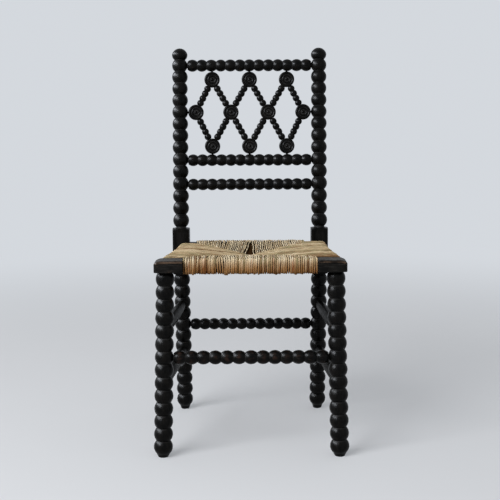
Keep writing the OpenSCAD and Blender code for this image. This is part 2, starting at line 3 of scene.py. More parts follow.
import bpy
import numpy as np
from mathutils import Matrix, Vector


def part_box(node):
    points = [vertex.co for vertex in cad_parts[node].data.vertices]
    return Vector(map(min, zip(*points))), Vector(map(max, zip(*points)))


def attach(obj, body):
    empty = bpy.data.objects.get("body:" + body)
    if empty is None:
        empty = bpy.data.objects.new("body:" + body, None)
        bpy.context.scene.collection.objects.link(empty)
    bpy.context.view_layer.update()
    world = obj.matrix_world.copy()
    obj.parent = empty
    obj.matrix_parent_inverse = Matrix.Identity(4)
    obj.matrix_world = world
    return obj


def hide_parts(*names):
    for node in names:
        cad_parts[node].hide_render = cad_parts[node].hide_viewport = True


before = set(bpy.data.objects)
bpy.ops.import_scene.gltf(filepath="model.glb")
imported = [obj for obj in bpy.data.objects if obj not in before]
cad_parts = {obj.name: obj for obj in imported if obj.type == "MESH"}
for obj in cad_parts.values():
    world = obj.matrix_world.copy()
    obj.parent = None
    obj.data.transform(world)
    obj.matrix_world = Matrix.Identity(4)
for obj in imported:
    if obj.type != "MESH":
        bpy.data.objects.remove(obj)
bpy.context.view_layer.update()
print("frame loaded:", len(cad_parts), "nodes")


# places come from the frame's own pieces, in metres
def boxLow(name):
    return np.array(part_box(name)[0])


def boxHigh(name):
    return np.array(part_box(name)[1])


def boxMiddle(name):
    return (boxLow(name) + boxHigh(name)) / 2


# the chair's lean, and the seat frame that every other piece is built on
chair = {
    "backRake": 5.0,  # degrees, posts above the seat
    "rearLegRake": 10.5,  # degrees, rear legs below the seat
    "legSplay": 1.46,  # degrees, front legs outwards
    "blockOut": 0.0227,  # corner block, leg axis to its outer end
    "blockIn": 0.038,  # corner block, leg axis to its inner end
    "blockBack": 0.024,  # corner block, leg axis to its back face
    "postSquare": 0.040,  # square block of a rear post
    "squareUp": 0.047,  # from the rear seat rail's axis up to its top
    "squareDown": 0.063,  # from that axis down to its foot
    "postNeck": 0.0035,  # plain neck between that block and the lowest bobbin
}
legY, seatZ = boxMiddle("seat_rail_front")[1:]
postY, rearZ = boxMiddle("seat_rail_rear")[1:]
legX = boxHigh("corner_block_right")[0] - chair["blockOut"]
postX = boxMiddle("rear_post_right")[0]
blockZ = boxLow("corner_block_right")[2]
chairTop = boxHigh("rear_post_right")[2]
squareTop = rearZ + chair["squareUp"]
squareFoot = rearZ - chair["squareDown"]
postRowZ = squareTop + chair["postNeck"]
sides = {"left": -1, "right": 1}


def circleAngles(around):
    return np.arange(around) * 2 * math.pi / around


# Points round an axis: the radius by the angle's cos and sin, and the distance along it
def spin(radius, angle, along):
    across, up = radius * np.cos(angle), radius * np.sin(angle)
    return np.stack([across, up, along[:, None] * np.ones(len(angle))], -1)


# A softened square's radius is half its width over this: |cos|^p + |sin|^p, to the power 1/p
def squareShare(angle, power):
    return (np.abs(np.cos(angle)) ** power + np.abs(np.sin(angle)) ** power) ** (1 / power)


# Points from spin put in place: base + across * first + up * second + axis * third
def onAxis(local, base, axis):
    helper = np.array([0, 0, 1.0]) if abs(axis[2]) < 0.9 else np.array([1.0, 0, 0])
    across = np.cross(helper, axis)
    across /= np.linalg.norm(across)
    up = np.cross(axis, across)
    return np.array(base) + local[..., :1] * across + local[..., 1:2] * up + local[..., 2:] * axis


# What the wood finish reads: a place whose third part runs with the grain, and the crest
def woodFields(local, crest, draws):
    return {"lathe": (local + draws.random(3) * 5)[None], "crest": crest[None]}


# A skin of tubes: points[tube, ring, around] are joined round each ring and from ring to ring,
# and a point in the middle of the first and last ring closes each tube
def tubeSkin(name, points, fields, material, sharpDegrees=45):
    tubes, rings, around = points.shape[:3]
    index = np.arange(tubes * rings * around).reshape(tubes, rings, around)
    right = np.roll(index, -1, axis=2)
    walls = np.stack([index[:, :-1], right[:, :-1], right[:, 1:], index[:, 1:]], -1).reshape(-1, 4)
    poles = index.size + np.arange(2 * tubes).reshape(2, tubes, 1) + np.zeros((1, 1, around), int)
    footFan = np.stack([poles[0], right[:, 0], index[:, 0]], -1).reshape(-1, 3)
    headFan = np.stack([poles[1], index[:, -1], right[:, -1]], -1).reshape(-1, 3)
    ends = [points[:, 0].mean(1), points[:, -1].mean(1)]
    co = np.concatenate([points.reshape(-1, 3), *ends])
    fans = np.concatenate([footFan, headFan])
    a, b, c = co[fans[:, 0]], co[fans[:, 1]], co[fans[:, 2]]
    volume = (np.cross(a, b) * c).sum()
    for k in (1, 2):
        a, b, c = co[walls[:, 0]], co[walls[:, k]], co[walls[:, k + 1]]
        volume += (np.cross(a, b) * c).sum()
    if volume < 0:  # a mirrored tube is turned the right way out
        walls, fans = walls[:, ::-1], fans[:, ::-1]
    mesh = bpy.data.meshes.new(name)
    mesh.vertices.add(len(co))
    mesh.vertices.foreach_set("co", co.astype(np.float32).ravel())
    corners = np.concatenate([walls.ravel(), fans.ravel()])
    starts = np.concatenate([np.arange(len(walls)) * 4, walls.size + np.arange(len(fans)) * 3])
    mesh.loops.add(len(corners))
    mesh.loops.foreach_set("vertex_index", corners.astype(np.int32))
    mesh.polygons.add(len(starts))
    mesh.polygons.foreach_set("loop_start", starts.astype(np.int32))
    mesh.update(calc_edges=True)
    mesh.validate()
    for label, values in fields.items():
        flat = values.reshape(tubes, rings, around, -1)
        tips = [flat[:, 0].mean(1), flat[:, -1].mean(1)]
        flat = np.concatenate([flat.reshape(-1, flat.shape[-1]), *tips]).astype(np.float32)
        vector = flat.shape[1] == 3
        layer = mesh.attributes.new(label, "FLOAT_VECTOR" if vector else "FLOAT", "POINT")
        layer.data.foreach_set("vector" if vector else "value", flat.ravel())
    mesh.shade_smooth()
    mesh.set_sharp_from_angle(angle=math.radians(sharpDegrees))
    piece = bpy.data.objects.new(name, mesh)
    bpy.context.scene.collection.objects.link(piece)
    mesh.materials.append(material)
    return piece


def settle(piece, slot, *nodes):
    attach(piece, "root")
    if nodes:
        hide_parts(*nodes)


# Shader helpers
def link(tree, source, target):
    tree.links.new(source, target)


def addNode(tree, kind, settings=None, **inputs):
    made = tree.nodes.new(kind)
    for label, value in (settings or {}).items():
        setattr(made, label, value)
    for label, value in inputs.items():
        socket = made.inputs[int(label[1:])] if label[1:].isdigit() else made.inputs[label.replace("_", " ")]
        if isinstance(value, bpy.types.NodeSocket):
            link(tree, value, socket)
        else:
            socket.default_value = value
    return made


def math2(tree, operation, a, b, clamp=False):
    made = addNode(tree, "ShaderNodeMath", {"operation": operation, "use_clamp": clamp}, i0=a, i1=b)
    return made.outputs[0]


def plus(tree, a, b, share, clamp=False):
    return math2(tree, "ADD", a, math2(tree, "MULTIPLY", b, share), clamp)


def blendColor(tree, factor, a, b, mode="MIX"):
    made = addNode(tree, "ShaderNodeMix", {"data_type": "RGBA", "blend_type": mode}, i0=factor, i6=a, i7=b)
    return made.outputs[2]


def band(tree, value, low, high, newLow=0.0, newHigh=1.0):
    made = addNode(tree, "ShaderNodeMapRange", {"interpolation_type": "SMOOTHSTEP"}, i0=value, i1=low,
                   i2=high, i3=newLow, i4=newHigh)
    return made.outputs[0]


def attribute(tree, name, output="Fac"):
    return addNode(tree, "ShaderNodeAttribute", {"attribute_name": name}).outputs[output]


def stretched(tree, vector, scale):
    return addNode(tree, "ShaderNodeMapping", None, Vector=vector, Scale=scale).outputs[0]


def noise(tree, vector, scale, detail, rough=0.55):
    made = addNode(tree, "ShaderNodeTexNoise", None, Vector=vector, Scale=scale, Detail=detail,
                   Roughness=rough)
    return made.outputs["Fac"]


def newGroup(name, inputs, outputs):
    group = bpy.data.node_groups.new(name, "ShaderNodeTree")
    for label, kind in inputs:
        group.interface.new_socket(label, in_out="INPUT", socket_type=kind)
    for label, kind in outputs:
        group.interface.new_socket(label, in_out="OUTPUT", socket_type=kind)
    return group, group.nodes.new("NodeGroupInput").outputs, group.nodes.new("NodeGroupOutput").inputs


def newMaterial(name):
    material = bpy.data.materials.new(name)
    material.use_nodes = True
    return material, material.node_tree, material.node_tree.nodes["Principled BSDF"].inputs


# Joins a finish group to its shader: colour, roughness and a bump from its height
def applyFinish(tree, shader, finish, bumpStrength, bumpDistance, specular):
    bump = addNode(tree, "ShaderNodeBump", None, Strength=bumpStrength, Distance=bumpDistance,
                   Height=finish.outputs["Height"])
    link(tree, finish.outputs["Color"], shader["Base Color"])
    link(tree, finish.outputs["Roughness"], shader["Roughness"])
    link(tree, bump.outputs[0], shader["Normal"])
    shader["Specular IOR Level"].default_value = specular


floatKind, vectorKind, colorKind = "NodeSocketFloat", "NodeSocketVector", "NodeSocketColor"
finishOutputs = [("Color", colorKind), ("Roughness", floatKind), ("Height", floatKind)]
blackStain = {
    "deep": (0.0010, 0.0010, 0.0009, 1),  # fresh black stain
    "thin": (0.0034, 0.0029, 0.0023, 1),  # where the stain is thin
    "worn": (0.045, 0.019, 0.011, 1),  # rubbed through to brown wood
    "dust": (0.020, 0.0195, 0.019, 1),  # old wax and dust in the creases
}


# Ebonised wood: black stain over long grain, rubbed brown where Crest and Wear are high,
# dusty where Crest is low; Place runs along the grain in its third part
def buildEbonyGroup():
    group, given, result = newGroup(
        "ebonisedFinish",
        [("Place", vectorKind), ("Crest", floatKind), ("Wear", floatKind), ("Dust", floatKind),
         ("Streak", floatKind), ("Worn Color", colorKind), ("Dust Color", colorKind)],
        finishOutputs)
    grain = noise(group, stretched(group, given["Place"], (900, 900, 45)), 1.0, 4.0, 0.6)
    blotch = noise(group, stretched(group, given["Place"], (70, 70, 40)), 1.0, 3.0)
    rub = noise(group, stretched(group, given["Place"], (160, 160, 60)), 1.0, 4.0, 0.65)
    stain = blendColor(group, band(group, blotch, 0.35, 0.7), blackStain["deep"], blackStain["thin"])
    streaks = math2(group, "MULTIPLY", band(group, grain, 0.52, 0.7), given["Streak"])
    stain = blendColor(group, streaks, stain, given["Dust Color"])
    height = plus(group, plus(group, given["Crest"], rub, 1.3), grain, 0.35)
    reach = math2(group, "SUBTRACT", 2.45, given["Wear"])
    worn = band(group, math2(group, "SUBTRACT", height, reach), 0.0, 0.45)
    worn = math2(group, "MULTIPLY", worn, band(group, blotch, 0.40, 0.62, 0.12, 1.0))
    stain = blendColor(group, worn, stain, given["Worn Color"])
    hollow = band(group, given["Crest"], 0.45, 0.0)
    hollow = math2(group, "MULTIPLY", hollow, band(group, blotch, 0.3, 0.65, 0.3, 1.0))
    hollow = math2(group, "MULTIPLY", hollow, given["Dust"])
    stain = blendColor(group, hollow, stain, given["Dust Color"])
    gloss = plus(group, band(group, blotch, 0.3, 0.7, 0.25, 0.32), grain, 0.08)
    gloss = plus(group, plus(group, gloss, hollow, 0.30), streaks, 0.25, True)
    split = addNode(group, "ShaderNodeSeparateXYZ", None, i0=given["Place"]).outputs[2]
    rings = addNode(group, "ShaderNodeTexNoise", {"noise_dimensions": "1D"}, W=split, Scale=1500.0,
                    Detail=2.0)
    relief = plus(group, math2(group, "MULTIPLY", rings.outputs["Fac"], 0.25), grain, 0.6)
    relief = plus(group, relief, rub, 0.5)
    link(group, stain, result["Color"])
    link(group, gloss, result["Roughness"])
    link(group, relief, result["Height"])
    return group


ebonyGroup = buildEbonyGroup()


# One wood material: the finish group with its own wear, dust, streaks and strength of relief
def ebonyMaterial(name, wear, dust, streak, relief, placeFrom="attribute", wornColor=None, dustColor=None,
                  shine=0.07):
    material, tree, shader = newMaterial(name)
    if placeFrom == "attribute":
        place, crest = attribute(tree, "lathe", "Vector"), attribute(tree, "crest")
    else:
        place = addNode(tree, "ShaderNodeTexCoord").outputs["Object"]
        crest = 0.35
    finish = addNode(tree, "ShaderNodeGroup", {"node_tree": ebonyGroup}, Place=place, Crest=crest,
                     Wear=wear, Dust=dust, Streak=streak, Worn_Color=wornColor or blackStain["worn"],
                     Dust_Color=dustColor or blackStain["dust"])
    applyFinish(tree, shader, finish, relief, 0.0006, shine)
    return material


finishes = {  # how worn, dusty and streaky each is, and how strong its relief
    "post": {"wear": 0.10, "dust": 0.8, "streak": 0.35, "relief": 0.14},
    "leg": {"wear": 0.25, "dust": 0.8, "streak": 0.35, "relief": 0.14},
    "rail": {"wear": 0.55, "dust": 0.9, "streak": 0.40, "relief": 0.18},
    "footRail": {"wear": 0.80, "dust": 0.6, "streak": 0.40, "relief": 0.18,
                 "wornColor": (0.026, 0.0135, 0.0095, 1)},
    "lattice": {"wear": 0.50, "dust": 0.9, "streak": 0.35, "relief": 0.20},
    "rod": {"wear": 0.15, "dust": 0.3, "streak": 0.7, "relief": 0.60,
            "dustColor": (0.010, 0.010, 0.0088, 1), "shine": 0.01},
    # on the corner blocks this light grey Dust Color lies wherever crest is low, mostly on the top, so the
    # top is coloured lighter than the sides and foot
    "block": {"wear": 1.15, "dust": 1.0, "streak": 0.3, "relief": 0.25,
              "wornColor": (0.070, 0.045, 0.030, 1), "dustColor": (0.060, 0.056, 0.052, 1)},
    "hidden": {"wear": 0.30, "dust": 0.4, "streak": 0.5, "relief": 0.3, "placeFrom": "object"},
}
black = {name: ebonyMaterial(name + "Black", **values) for name, values in finishes.items()}
print("wood finishes made")


# How uneven the turning is: metres for the creases, shares for the bobbins and for the oval
byHand = {"crease": 0.00028, "bobbin": 0.007, "oval": 0.004}


# A row of bobbins: each is an arc through the crease, the crest and the next crease, and ease makes
# the first ones longer and the last ones shorter.
# Returns the distance along the axis, the radius, and how near each point is to its crest
def beadRow(count, length, firstD, lastD, creaseD, draws, perBead=14, ease=0.0):
    x = np.arange(count + 1.0)
    edges = length / count * x * (1 + ease / 2 * (1 - (x - 1) / (count - 1)))
    edges[1:-1] += draws.normal(0, byHand["crease"], count - 1)
    high = np.linspace(firstD, lastD, count) / 2 * (1 + draws.normal(0, byHand["bobbin"], count))
    rise = high - creaseD / 2
    half = np.diff(edges) / 2
    arc = (half**2 + rise**2) / (2 * rise)
    angle = np.arctan2(half, arc - rise)[:, None] * np.linspace(-1, 1, perBead + 1)[None]
    along = (edges[:-1] + half)[:, None] + arc[:, None] * np.sin(angle)
    radius = (high - arc)[:, None] + arc[:, None] * np.cos(angle)
    crest = (radius - creaseD / 2) / rise[:, None]
    parts = [np.concatenate([part[:1, 0], part[:, 1:].ravel()]) for part in (along, radius, crest)]
    return np.stack(parts)


# Straight-sided lengths of a profile, from plain pairs of distance and radius
def plainProfile(pairs, crest):
    along, radius = np.array(pairs, float).T
    return np.stack([along, radius, np.full(len(along), crest)])


# A row of bobbins with a round tenon before and after it
def withTenons(row, long, tenonD, tenonLong):
    start = plainProfile([(-tenonLong, tenonD / 2), (0, tenonD / 2)], 0.1)
    end = plainProfile([(long, tenonD / 2), (long + tenonLong, tenonD / 2)], 0.1)
    return np.concatenate([start, row, end], 1)


# Turns a profile round an axis: a point is base + axis * along + (across * cos + up * sin) * radius,
# and the wood has shrunk a little oval
def turned(name, profile, base, axis, material, around, seed, soleZ=None):
    along, radius, crest = profile
    axis = np.array(axis, float) / np.linalg.norm(axis)
    angle = circleAngles(around)
    draws = np.random.default_rng(seed + 900)
    oval = 1 + byHand["oval"] * np.sin(2 * angle[None] + 6.3 * draws.random()) * np.ones((len(along), 1))
    local = spin(radius[:, None] * oval, angle, along)
    points = onAxis(local, base, axis)
    if soleZ is not None:  # a leaning leg's last ring is cut level
        points[-1, :, 2] = soleZ
    fields = woodFields(local, crest[:, None] * np.ones(around), draws)
    return tubeSkin(name, points[None], fields, material)


# Rear posts
post = {
    "beads": 14,
    "ease": 0.09,  # share by which the bobbins shorten upwards
    "lowD": 0.0378,
    "topD": 0.0364,
    "creaseD": 0.0244,
    "capHigh": 0.0272,
    "capWaist": 0.0115,
    "capShoulder": 0.0095,
    "legBeads": 12,
    "legTopD": 0.0386,
    "legFootD": 0.0396,
    "legCreaseD": 0.0268,
    "footHigh": 0.0115,
    "footD": 0.020,
    "cornerCut": 0.0036,  # depth to which the square block's corners are turned away
    "squarePower": 16,  # the higher, the sharper the block's long edges
    "around": 64,
}


# The cap: an arc up to its waist, a small shoulder arc and a flatter crown that meets it smoothly
def capProfile():
    high, waist, shoulder = post["capHigh"], post["capWaist"], post["capShoulder"]
    radius, rise = post["topD"] / 2, (post["topD"] - post["creaseD"]) / 2
    arc = (waist**2 + rise**2) / (2 * rise)
    low = np.arctan2(waist, arc - rise) * np.linspace(-1, 0, 9)[1:]
    flat, top = radius - shoulder, high - waist
    crown = (top**2 + flat**2 - shoulder**2) / (2 * (top - shoulder))
    meet = math.atan2(waist - high + crown, flat)
    edge = np.linspace(0, meet, 4)[1:]
    dome = np.linspace(meet, math.pi / 2, 14)[1:-1]
    along = np.concatenate([waist + arc * np.sin(low), waist + shoulder * np.sin(edge),
                            high - crown + crown * np.sin(dome)])
    size = np.concatenate([radius - arc + arc * np.cos(low), flat + shoulder * np.cos(edge),
                           crown * np.cos(dome)])
    return np.stack([along, size, np.clip((size - post["creaseD"] / 2) / rise, 0.3, 1)])


# A post is one skin: the leg's rings lean, the square block's stand upright, the upper rings lean back.
# The block's ring is a softened square, cut to a cone at both ends
def makePost(name, side, seed):
    draws = np.random.default_rng(seed)
    angle = circleAngles(post["around"])
    legRake, backRake = math.radians(chair["rearLegRake"]), math.radians(chair["backRake"])
    legLong = (squareFoot - post["footHigh"]) / math.cos(legRake)
    backLong = (chairTop - postRowZ) / math.cos(backRake) - post["capHigh"]
    leg = beadRow(post["legBeads"], legLong, post["legFootD"], post["legTopD"], post["legCreaseD"], draws)
    foot = post["footHigh"] / math.cos(legRake)
    soleAlong = np.linspace(-foot, 0, 6)[:-1]
    soleSize = np.linspace(post["footD"], post["legCreaseD"], 6)[:-1] / 2
    leg[0] -= legLong
    sole = np.stack([soleAlong - legLong, soleSize, np.full(5, 0.5)])
    lower = np.concatenate([sole, leg], 1)
    back = beadRow(post["beads"], backLong, post["lowD"], post["topD"], post["creaseD"], draws,
                   ease=post["ease"])
    cap = capProfile()
    cap[0] += backLong
    neck = plainProfile([(-chair["postNeck"], post["creaseD"] / 2)], 0)
    upper = np.concatenate([neck, back, cap], 1)
    cut, blockLong = post["cornerCut"], squareTop - squareFoot
    ends = np.array([0, 0.25, 0.5, 0.75, 1.0, 1.4]) * cut
    between = np.linspace(2.5 * cut, blockLong - 2.5 * cut, 12)
    heights = np.concatenate([ends, between, blockLong - ends[::-1]])
    half = chair["postSquare"] / 2
    square = half / squareShare(angle, post["squarePower"])
    cone = half * 1.05 + np.minimum(heights, blockLong - heights) / cut * half * (math.sqrt(2) - 1.05)
    blockRings = np.minimum(square[None], cone[:, None])
    corner = np.clip((square - half * 1.12) / (half * 0.25), 0, 1)[None] * np.ones((len(heights), 1))
    corner = np.maximum(corner, 0.8 * (np.minimum(heights, blockLong - heights) < 1.6 * cut)[:, None])

    def leaning(profile, baseZ, rake):
        rings = profile[1][:, None] * np.ones(len(angle))
        centre = np.stack([0 * profile[0], profile[0] * math.sin(rake), profile[0] * math.cos(rake)], -1)
        across, up = np.array([1.0, 0, 0]), np.array([0, math.cos(rake), -math.sin(rake)])
        spread = rings[..., None] * (np.cos(angle)[:, None] * across + np.sin(angle)[:, None] * up)
        return centre[:, None] + spread + np.array([0, 0, baseZ]), rings

    legPoints, legRings = leaning(lower, squareFoot, -legRake)
    backPoints, backRings = leaning(upper, postRowZ, backRake)
    axisShift = legPoints[0, :, 2] / math.cos(legRake)  # the sole is cut level with the floor
    legPoints[0] -= axisShift[:, None] * np.array([0, -math.sin(legRake), math.cos(legRake)])
    points = np.concatenate([legPoints, spin(blockRings, angle, squareFoot + heights), backPoints])
    rings = np.concatenate([legRings, blockRings, backRings])
    along = np.concatenate([lower[0] + squareFoot, squareFoot + heights, upper[0] + postRowZ])
    around = np.ones(len(angle))
    crest = np.concatenate([lower[2][:, None] * around, 0.35 + 0.5 * corner, upper[2][:, None] * around])
    points = points + np.array([postX * side, postY, 0])
    fields = woodFields(spin(rings, angle, along), crest, draws)
    return tubeSkin(name, points[None], fields, black["post"], 40)


for label, side in sides.items():
    settle(makePost("turnedPost_" + label, side, 11 + side), "ebonised_wood", "rear_post_" + label)
print("rear posts turned")

# Front legs
frontLeg = {
    "beads": 14,
    "topD": 0.0394,
    "footBeadD": 0.041,
    "creaseD": 0.0294,
    "neck": 0.002,
    "footHigh": 0.008,
    "footD": 0.021,
    "tenonD": 0.020,
    "tenonLong": 0.018,
    "around": 64,
}


def makeFrontLeg(name, side, seed):
    draws = np.random.default_rng(seed)
    splay = math.radians(chair["legSplay"])
    footLong = frontLeg["footHigh"] / math.cos(splay)
    long = blockZ / math.cos(splay)
    row = beadRow(frontLeg["beads"], long - footLong - frontLeg["neck"], frontLeg["topD"],
                  frontLeg["footBeadD"], frontLeg["creaseD"], draws)
    row[0] += frontLeg["neck"]
    tenon, crease = frontLeg["tenonD"] / 2, frontLeg["creaseD"] / 2
    head = plainProfile([(-frontLeg["tenonLong"], tenon), (0, tenon), (0, crease)], 0.1)
    rise = np.linspace(0, 1, 6)[1:]
    foot = np.stack([long - footLong + footLong * rise, crease + (frontLeg["footD"] / 2 - crease) * rise,
                     np.full(5, 0.5)])
    profile = np.concatenate([head, row, foot], 1)
    base, axis = (side * legX, legY, blockZ), (side * math.tan(splay), 0, -1)
    return turned(name, profile, base, axis, black["leg"], frontLeg["around"], seed, soleZ=0.0)


for label, side in sides.items():
    settle(makeFrontLeg("turnedLeg_" + label, side, 31 + side), "ebonised_wood", "front_leg_" + label)
print("front legs turned")

# Back rails and stretchers, thirteen bobbins each between their shoulders
rails = {
    "beads": 13,
    "tenonD": 0.012,
    "tenonLong": 0.013,
    "around": 48,
    "pieces": {  # node: bobbin diameter, crease diameter, material
        "top_rail": (0.0286, 0.019, black["rail"]),
        "lattice_rail": (0.0278, 0.019, black["rail"]),
        "lower_back_rail": (0.0278, 0.019, black["rail"]),
        "front_stretcher": (0.030, 0.020, black["footRail"]),
        "rear_stretcher": (0.0278, 0.0184, black["leg"]),
    },
}


def makeRail(node, seed):
    beadD, creaseD, material = rails["pieces"][node]
    low, high = boxLow(node), boxHigh(node)
    middle = (low + high) / 2
    reach = rails["tenonLong"]
    long = high[0] - low[0] - 2 * reach
    row = beadRow(rails["beads"], long, beadD, beadD, creaseD, np.random.default_rng(seed))
    profile = withTenons(row, long, rails["tenonD"], reach)
    base = (low[0] + reach, middle[1], middle[2])
    return turned("turned_" + node, profile, base, (1, 0, 0), material, rails["around"], seed)


for number, node in enumerate(rails["pieces"]):
    settle(makeRail(node, 50 + number), "ebonised_wood", node)
print("rails and stretchers turned")

# Lattice of roundels and small spindles, in the plane of the leaning back
lattice = {
    "roundelD": 0.0364,
    "rimThick": 0.014,
    "bossThick": 0.016,
    "grooveThick": 0.010,
    "rimBead": 0.0031,
    "ringBead": 0.0022,
    "ringAt": 0.0086,
    "bossRadius": 0.0036,
    "spindleBeads": 4,
    "spindleD": 0.0164,
    "spindleCreaseD": 0.0106,
    "spindleTenonD": 0.0056,
    "spindleTenonLong": 0.004,
    "crestDeep": 0.002,  # height over the grooves at which a roundel counts as fully worn
}
lean = math.radians(chair["backRake"])
backPlane = np.array([0, math.cos(lean), -math.sin(lean)])
roundelAt = [boxMiddle("roundel_%d" % (i + 1)) for i in range(10)]


# A roundel's face from its middle out: the height is the highest of the flat disc and of the boss, the
# ring and the rim, each an arc over its own centre. The rim bead turns round the edge to the same face
# on the other side
def roundelProfile():
    rimX = lattice["roundelD"] / 2 - lattice["rimBead"]
    x = np.linspace(0, rimX, 40)

    def arcOver(centre, radius, top):
        away = abs(x - centre)
        return top - radius + np.sqrt(np.maximum(radius**2 - away**2, 0)) - 1.0 * (away > radius)

    face = np.maximum.reduce([
        np.full(len(x), lattice["grooveThick"] / 2),
        arcOver(0, lattice["bossRadius"], lattice["bossThick"] / 2),
        arcOver(lattice["ringAt"], lattice["ringBead"], lattice["rimThick"] / 2),
        arcOver(rimX, lattice["rimBead"], lattice["rimThick"] / 2)])
    turn = np.linspace(0, math.pi / 2, 6)[1:]
    edgeX = rimX + lattice["rimBead"] * np.sin(turn)
    edgeH = lattice["rimThick"] / 2 - lattice["rimBead"] * (1 - np.cos(turn))
    radius, height = np.concatenate([x, edgeX]), np.concatenate([face, edgeH])
    crest = np.clip((height - lattice["grooveThick"] / 2) / lattice["crestDeep"], 0, 1)
    radius[0] = 0.0002
    flip = slice(None, None, -1)
    return np.stack([np.concatenate([-height, height[flip]]), np.concatenate([radius, radius[flip]]),
                     np.concatenate([crest, crest[flip]])])


def makeSpindle(name, start, end, seed):
    step = end - start
    long = np.linalg.norm(step)
    axis = step / long
    shoulder = lattice["roundelD"] / 2
    body = long - 2 * shoulder
    row = beadRow(lattice["spindleBeads"], body, lattice["spindleD"], lattice["spindleD"],
                  lattice["spindleCreaseD"], np.random.default_rng(seed), 12)
    profile = withTenons(row, body, lattice["spindleTenonD"], lattice["spindleTenonLong"])
    return turned(name, profile, start + axis * shoulder, axis, black["lattice"], 32, seed)


face = roundelProfile()
for i, at in enumerate(roundelAt):
    piece = turned("turnedRoundel_%d" % (i + 1), face, at, backPlane, black["lattice"], 56, 80 + i)
    settle(piece, "ebonised_wood", "roundel_%d" % (i + 1))
spindleEnds = [(row + i, 3 + i + j) for row in (0, 7) for i in range(3) for j in (0, 1)]
for i, (a, b) in enumerate(spindleEnds):
    piece = makeSpindle("turnedSpindle_%d" % (i + 1), roundelAt[a], roundelAt[b], 100 + i)
    settle(piece, "ebonised_wood", "lattice_spindle_%d" % (i + 1))
print("lattice turned")

# Plain side stretchers, shaved by hand: the radius swells from the ends to the middle and
# the ring is a soft many-sided shape that drifts along the length
rod = {
    "midD": 0.026,
    "endD": 0.018,
    "full": 0.6,  # power of the swell's sine: the lower, the fuller the ends
    "straight": 0.016,  # length of each plain end
    "stop": 0.007,  # from the leg's axis to the rod's end
    "facet": 0.035,
    "rings": 60,
}
rodHeights = {"upper": (0.275, 0.2735), "lower": (0.160, 0.1585)}  # at the front and the rear leg's axis


def makeRod(name, side, heights, seed):
    draws = np.random.default_rng(seed)
    splay = math.tan(math.radians(chair["legSplay"]))
    front = np.array([legX + (blockZ - heights[0]) * splay, legY, heights[0]])
    rake = math.tan(math.radians(chair["rearLegRake"]))
    rear = np.array([postX, postY + (squareFoot - heights[1]) * rake, heights[1]])
    front[0] *= side
    rear[0] *= side
    axis = (rear - front) / np.linalg.norm(rear - front)
    long = np.linalg.norm(rear - front) - 2 * rod["stop"]
    along = np.linspace(0, long, rod["rings"])
    t = np.clip((along - rod["straight"]) / (long - 2 * rod["straight"]), 0, 1)
    swell = np.sin(math.pi * t) ** rod["full"]
    radius = rod["endD"] / 2 + (rod["midD"] - rod["endD"]) / 2 * swell
    angle = circleAngles(40)
    drift = draws.random(3) * 6
    facets = np.cos(9 * angle[None] + drift[0] + 3 * np.sin(along[:, None] * 9 + drift[1]))
    broad = np.cos(2 * angle[None] + drift[2] + along[:, None] * 6)
    rings = radius[:, None] * (1 + rod["facet"] * (0.5 * facets + 0.4 * broad) * np.sin(math.pi * t)[:, None])
    local = spin(rings, angle, along)
    points = onAxis(local, front + axis * rod["stop"], axis)
    return tubeSkin(name, points[None], woodFields(local, 0.5 + 0.4 * facets, draws), black["rod"])


for number, level in enumerate(rodHeights):
    for label, side in sides.items():
        piece = makeRod("shavedRod_%s_%s" % (level, label), side, rodHeights[level], 130 + 2 * number + side)
        settle(piece, "ebonised_wood", "side_stretcher_%s_%s" % (level, label))
print("side stretchers shaved")

# Corner blocks: one skin from the middle of the top, over the worn edges, down the sides to the middle
# of the foot. Its plan is a rounded rectangle, and its top drops by a quarter ellipse at each edge,
# most of all at the outer end and the front
block = {
    "outer": (0.017, 0.0085),  # how far the wear reaches in from the outer end, and how deep it goes
    "front": (0.0055, 0.0045),
    "back": (0.002, 0.0012),  # the inner end's too
    "footEdge": 0.0009,
    "corners": ((1, 1, 0.002), (-1, 1, 0.0015), (-1, -1, 0.0015), (1, -1, 0.006)),  # signs of x and y, radius
    "wallCrest": 0.38,  # how much the sides and the foot are worn
    "edgeCrest": 0.55,
}


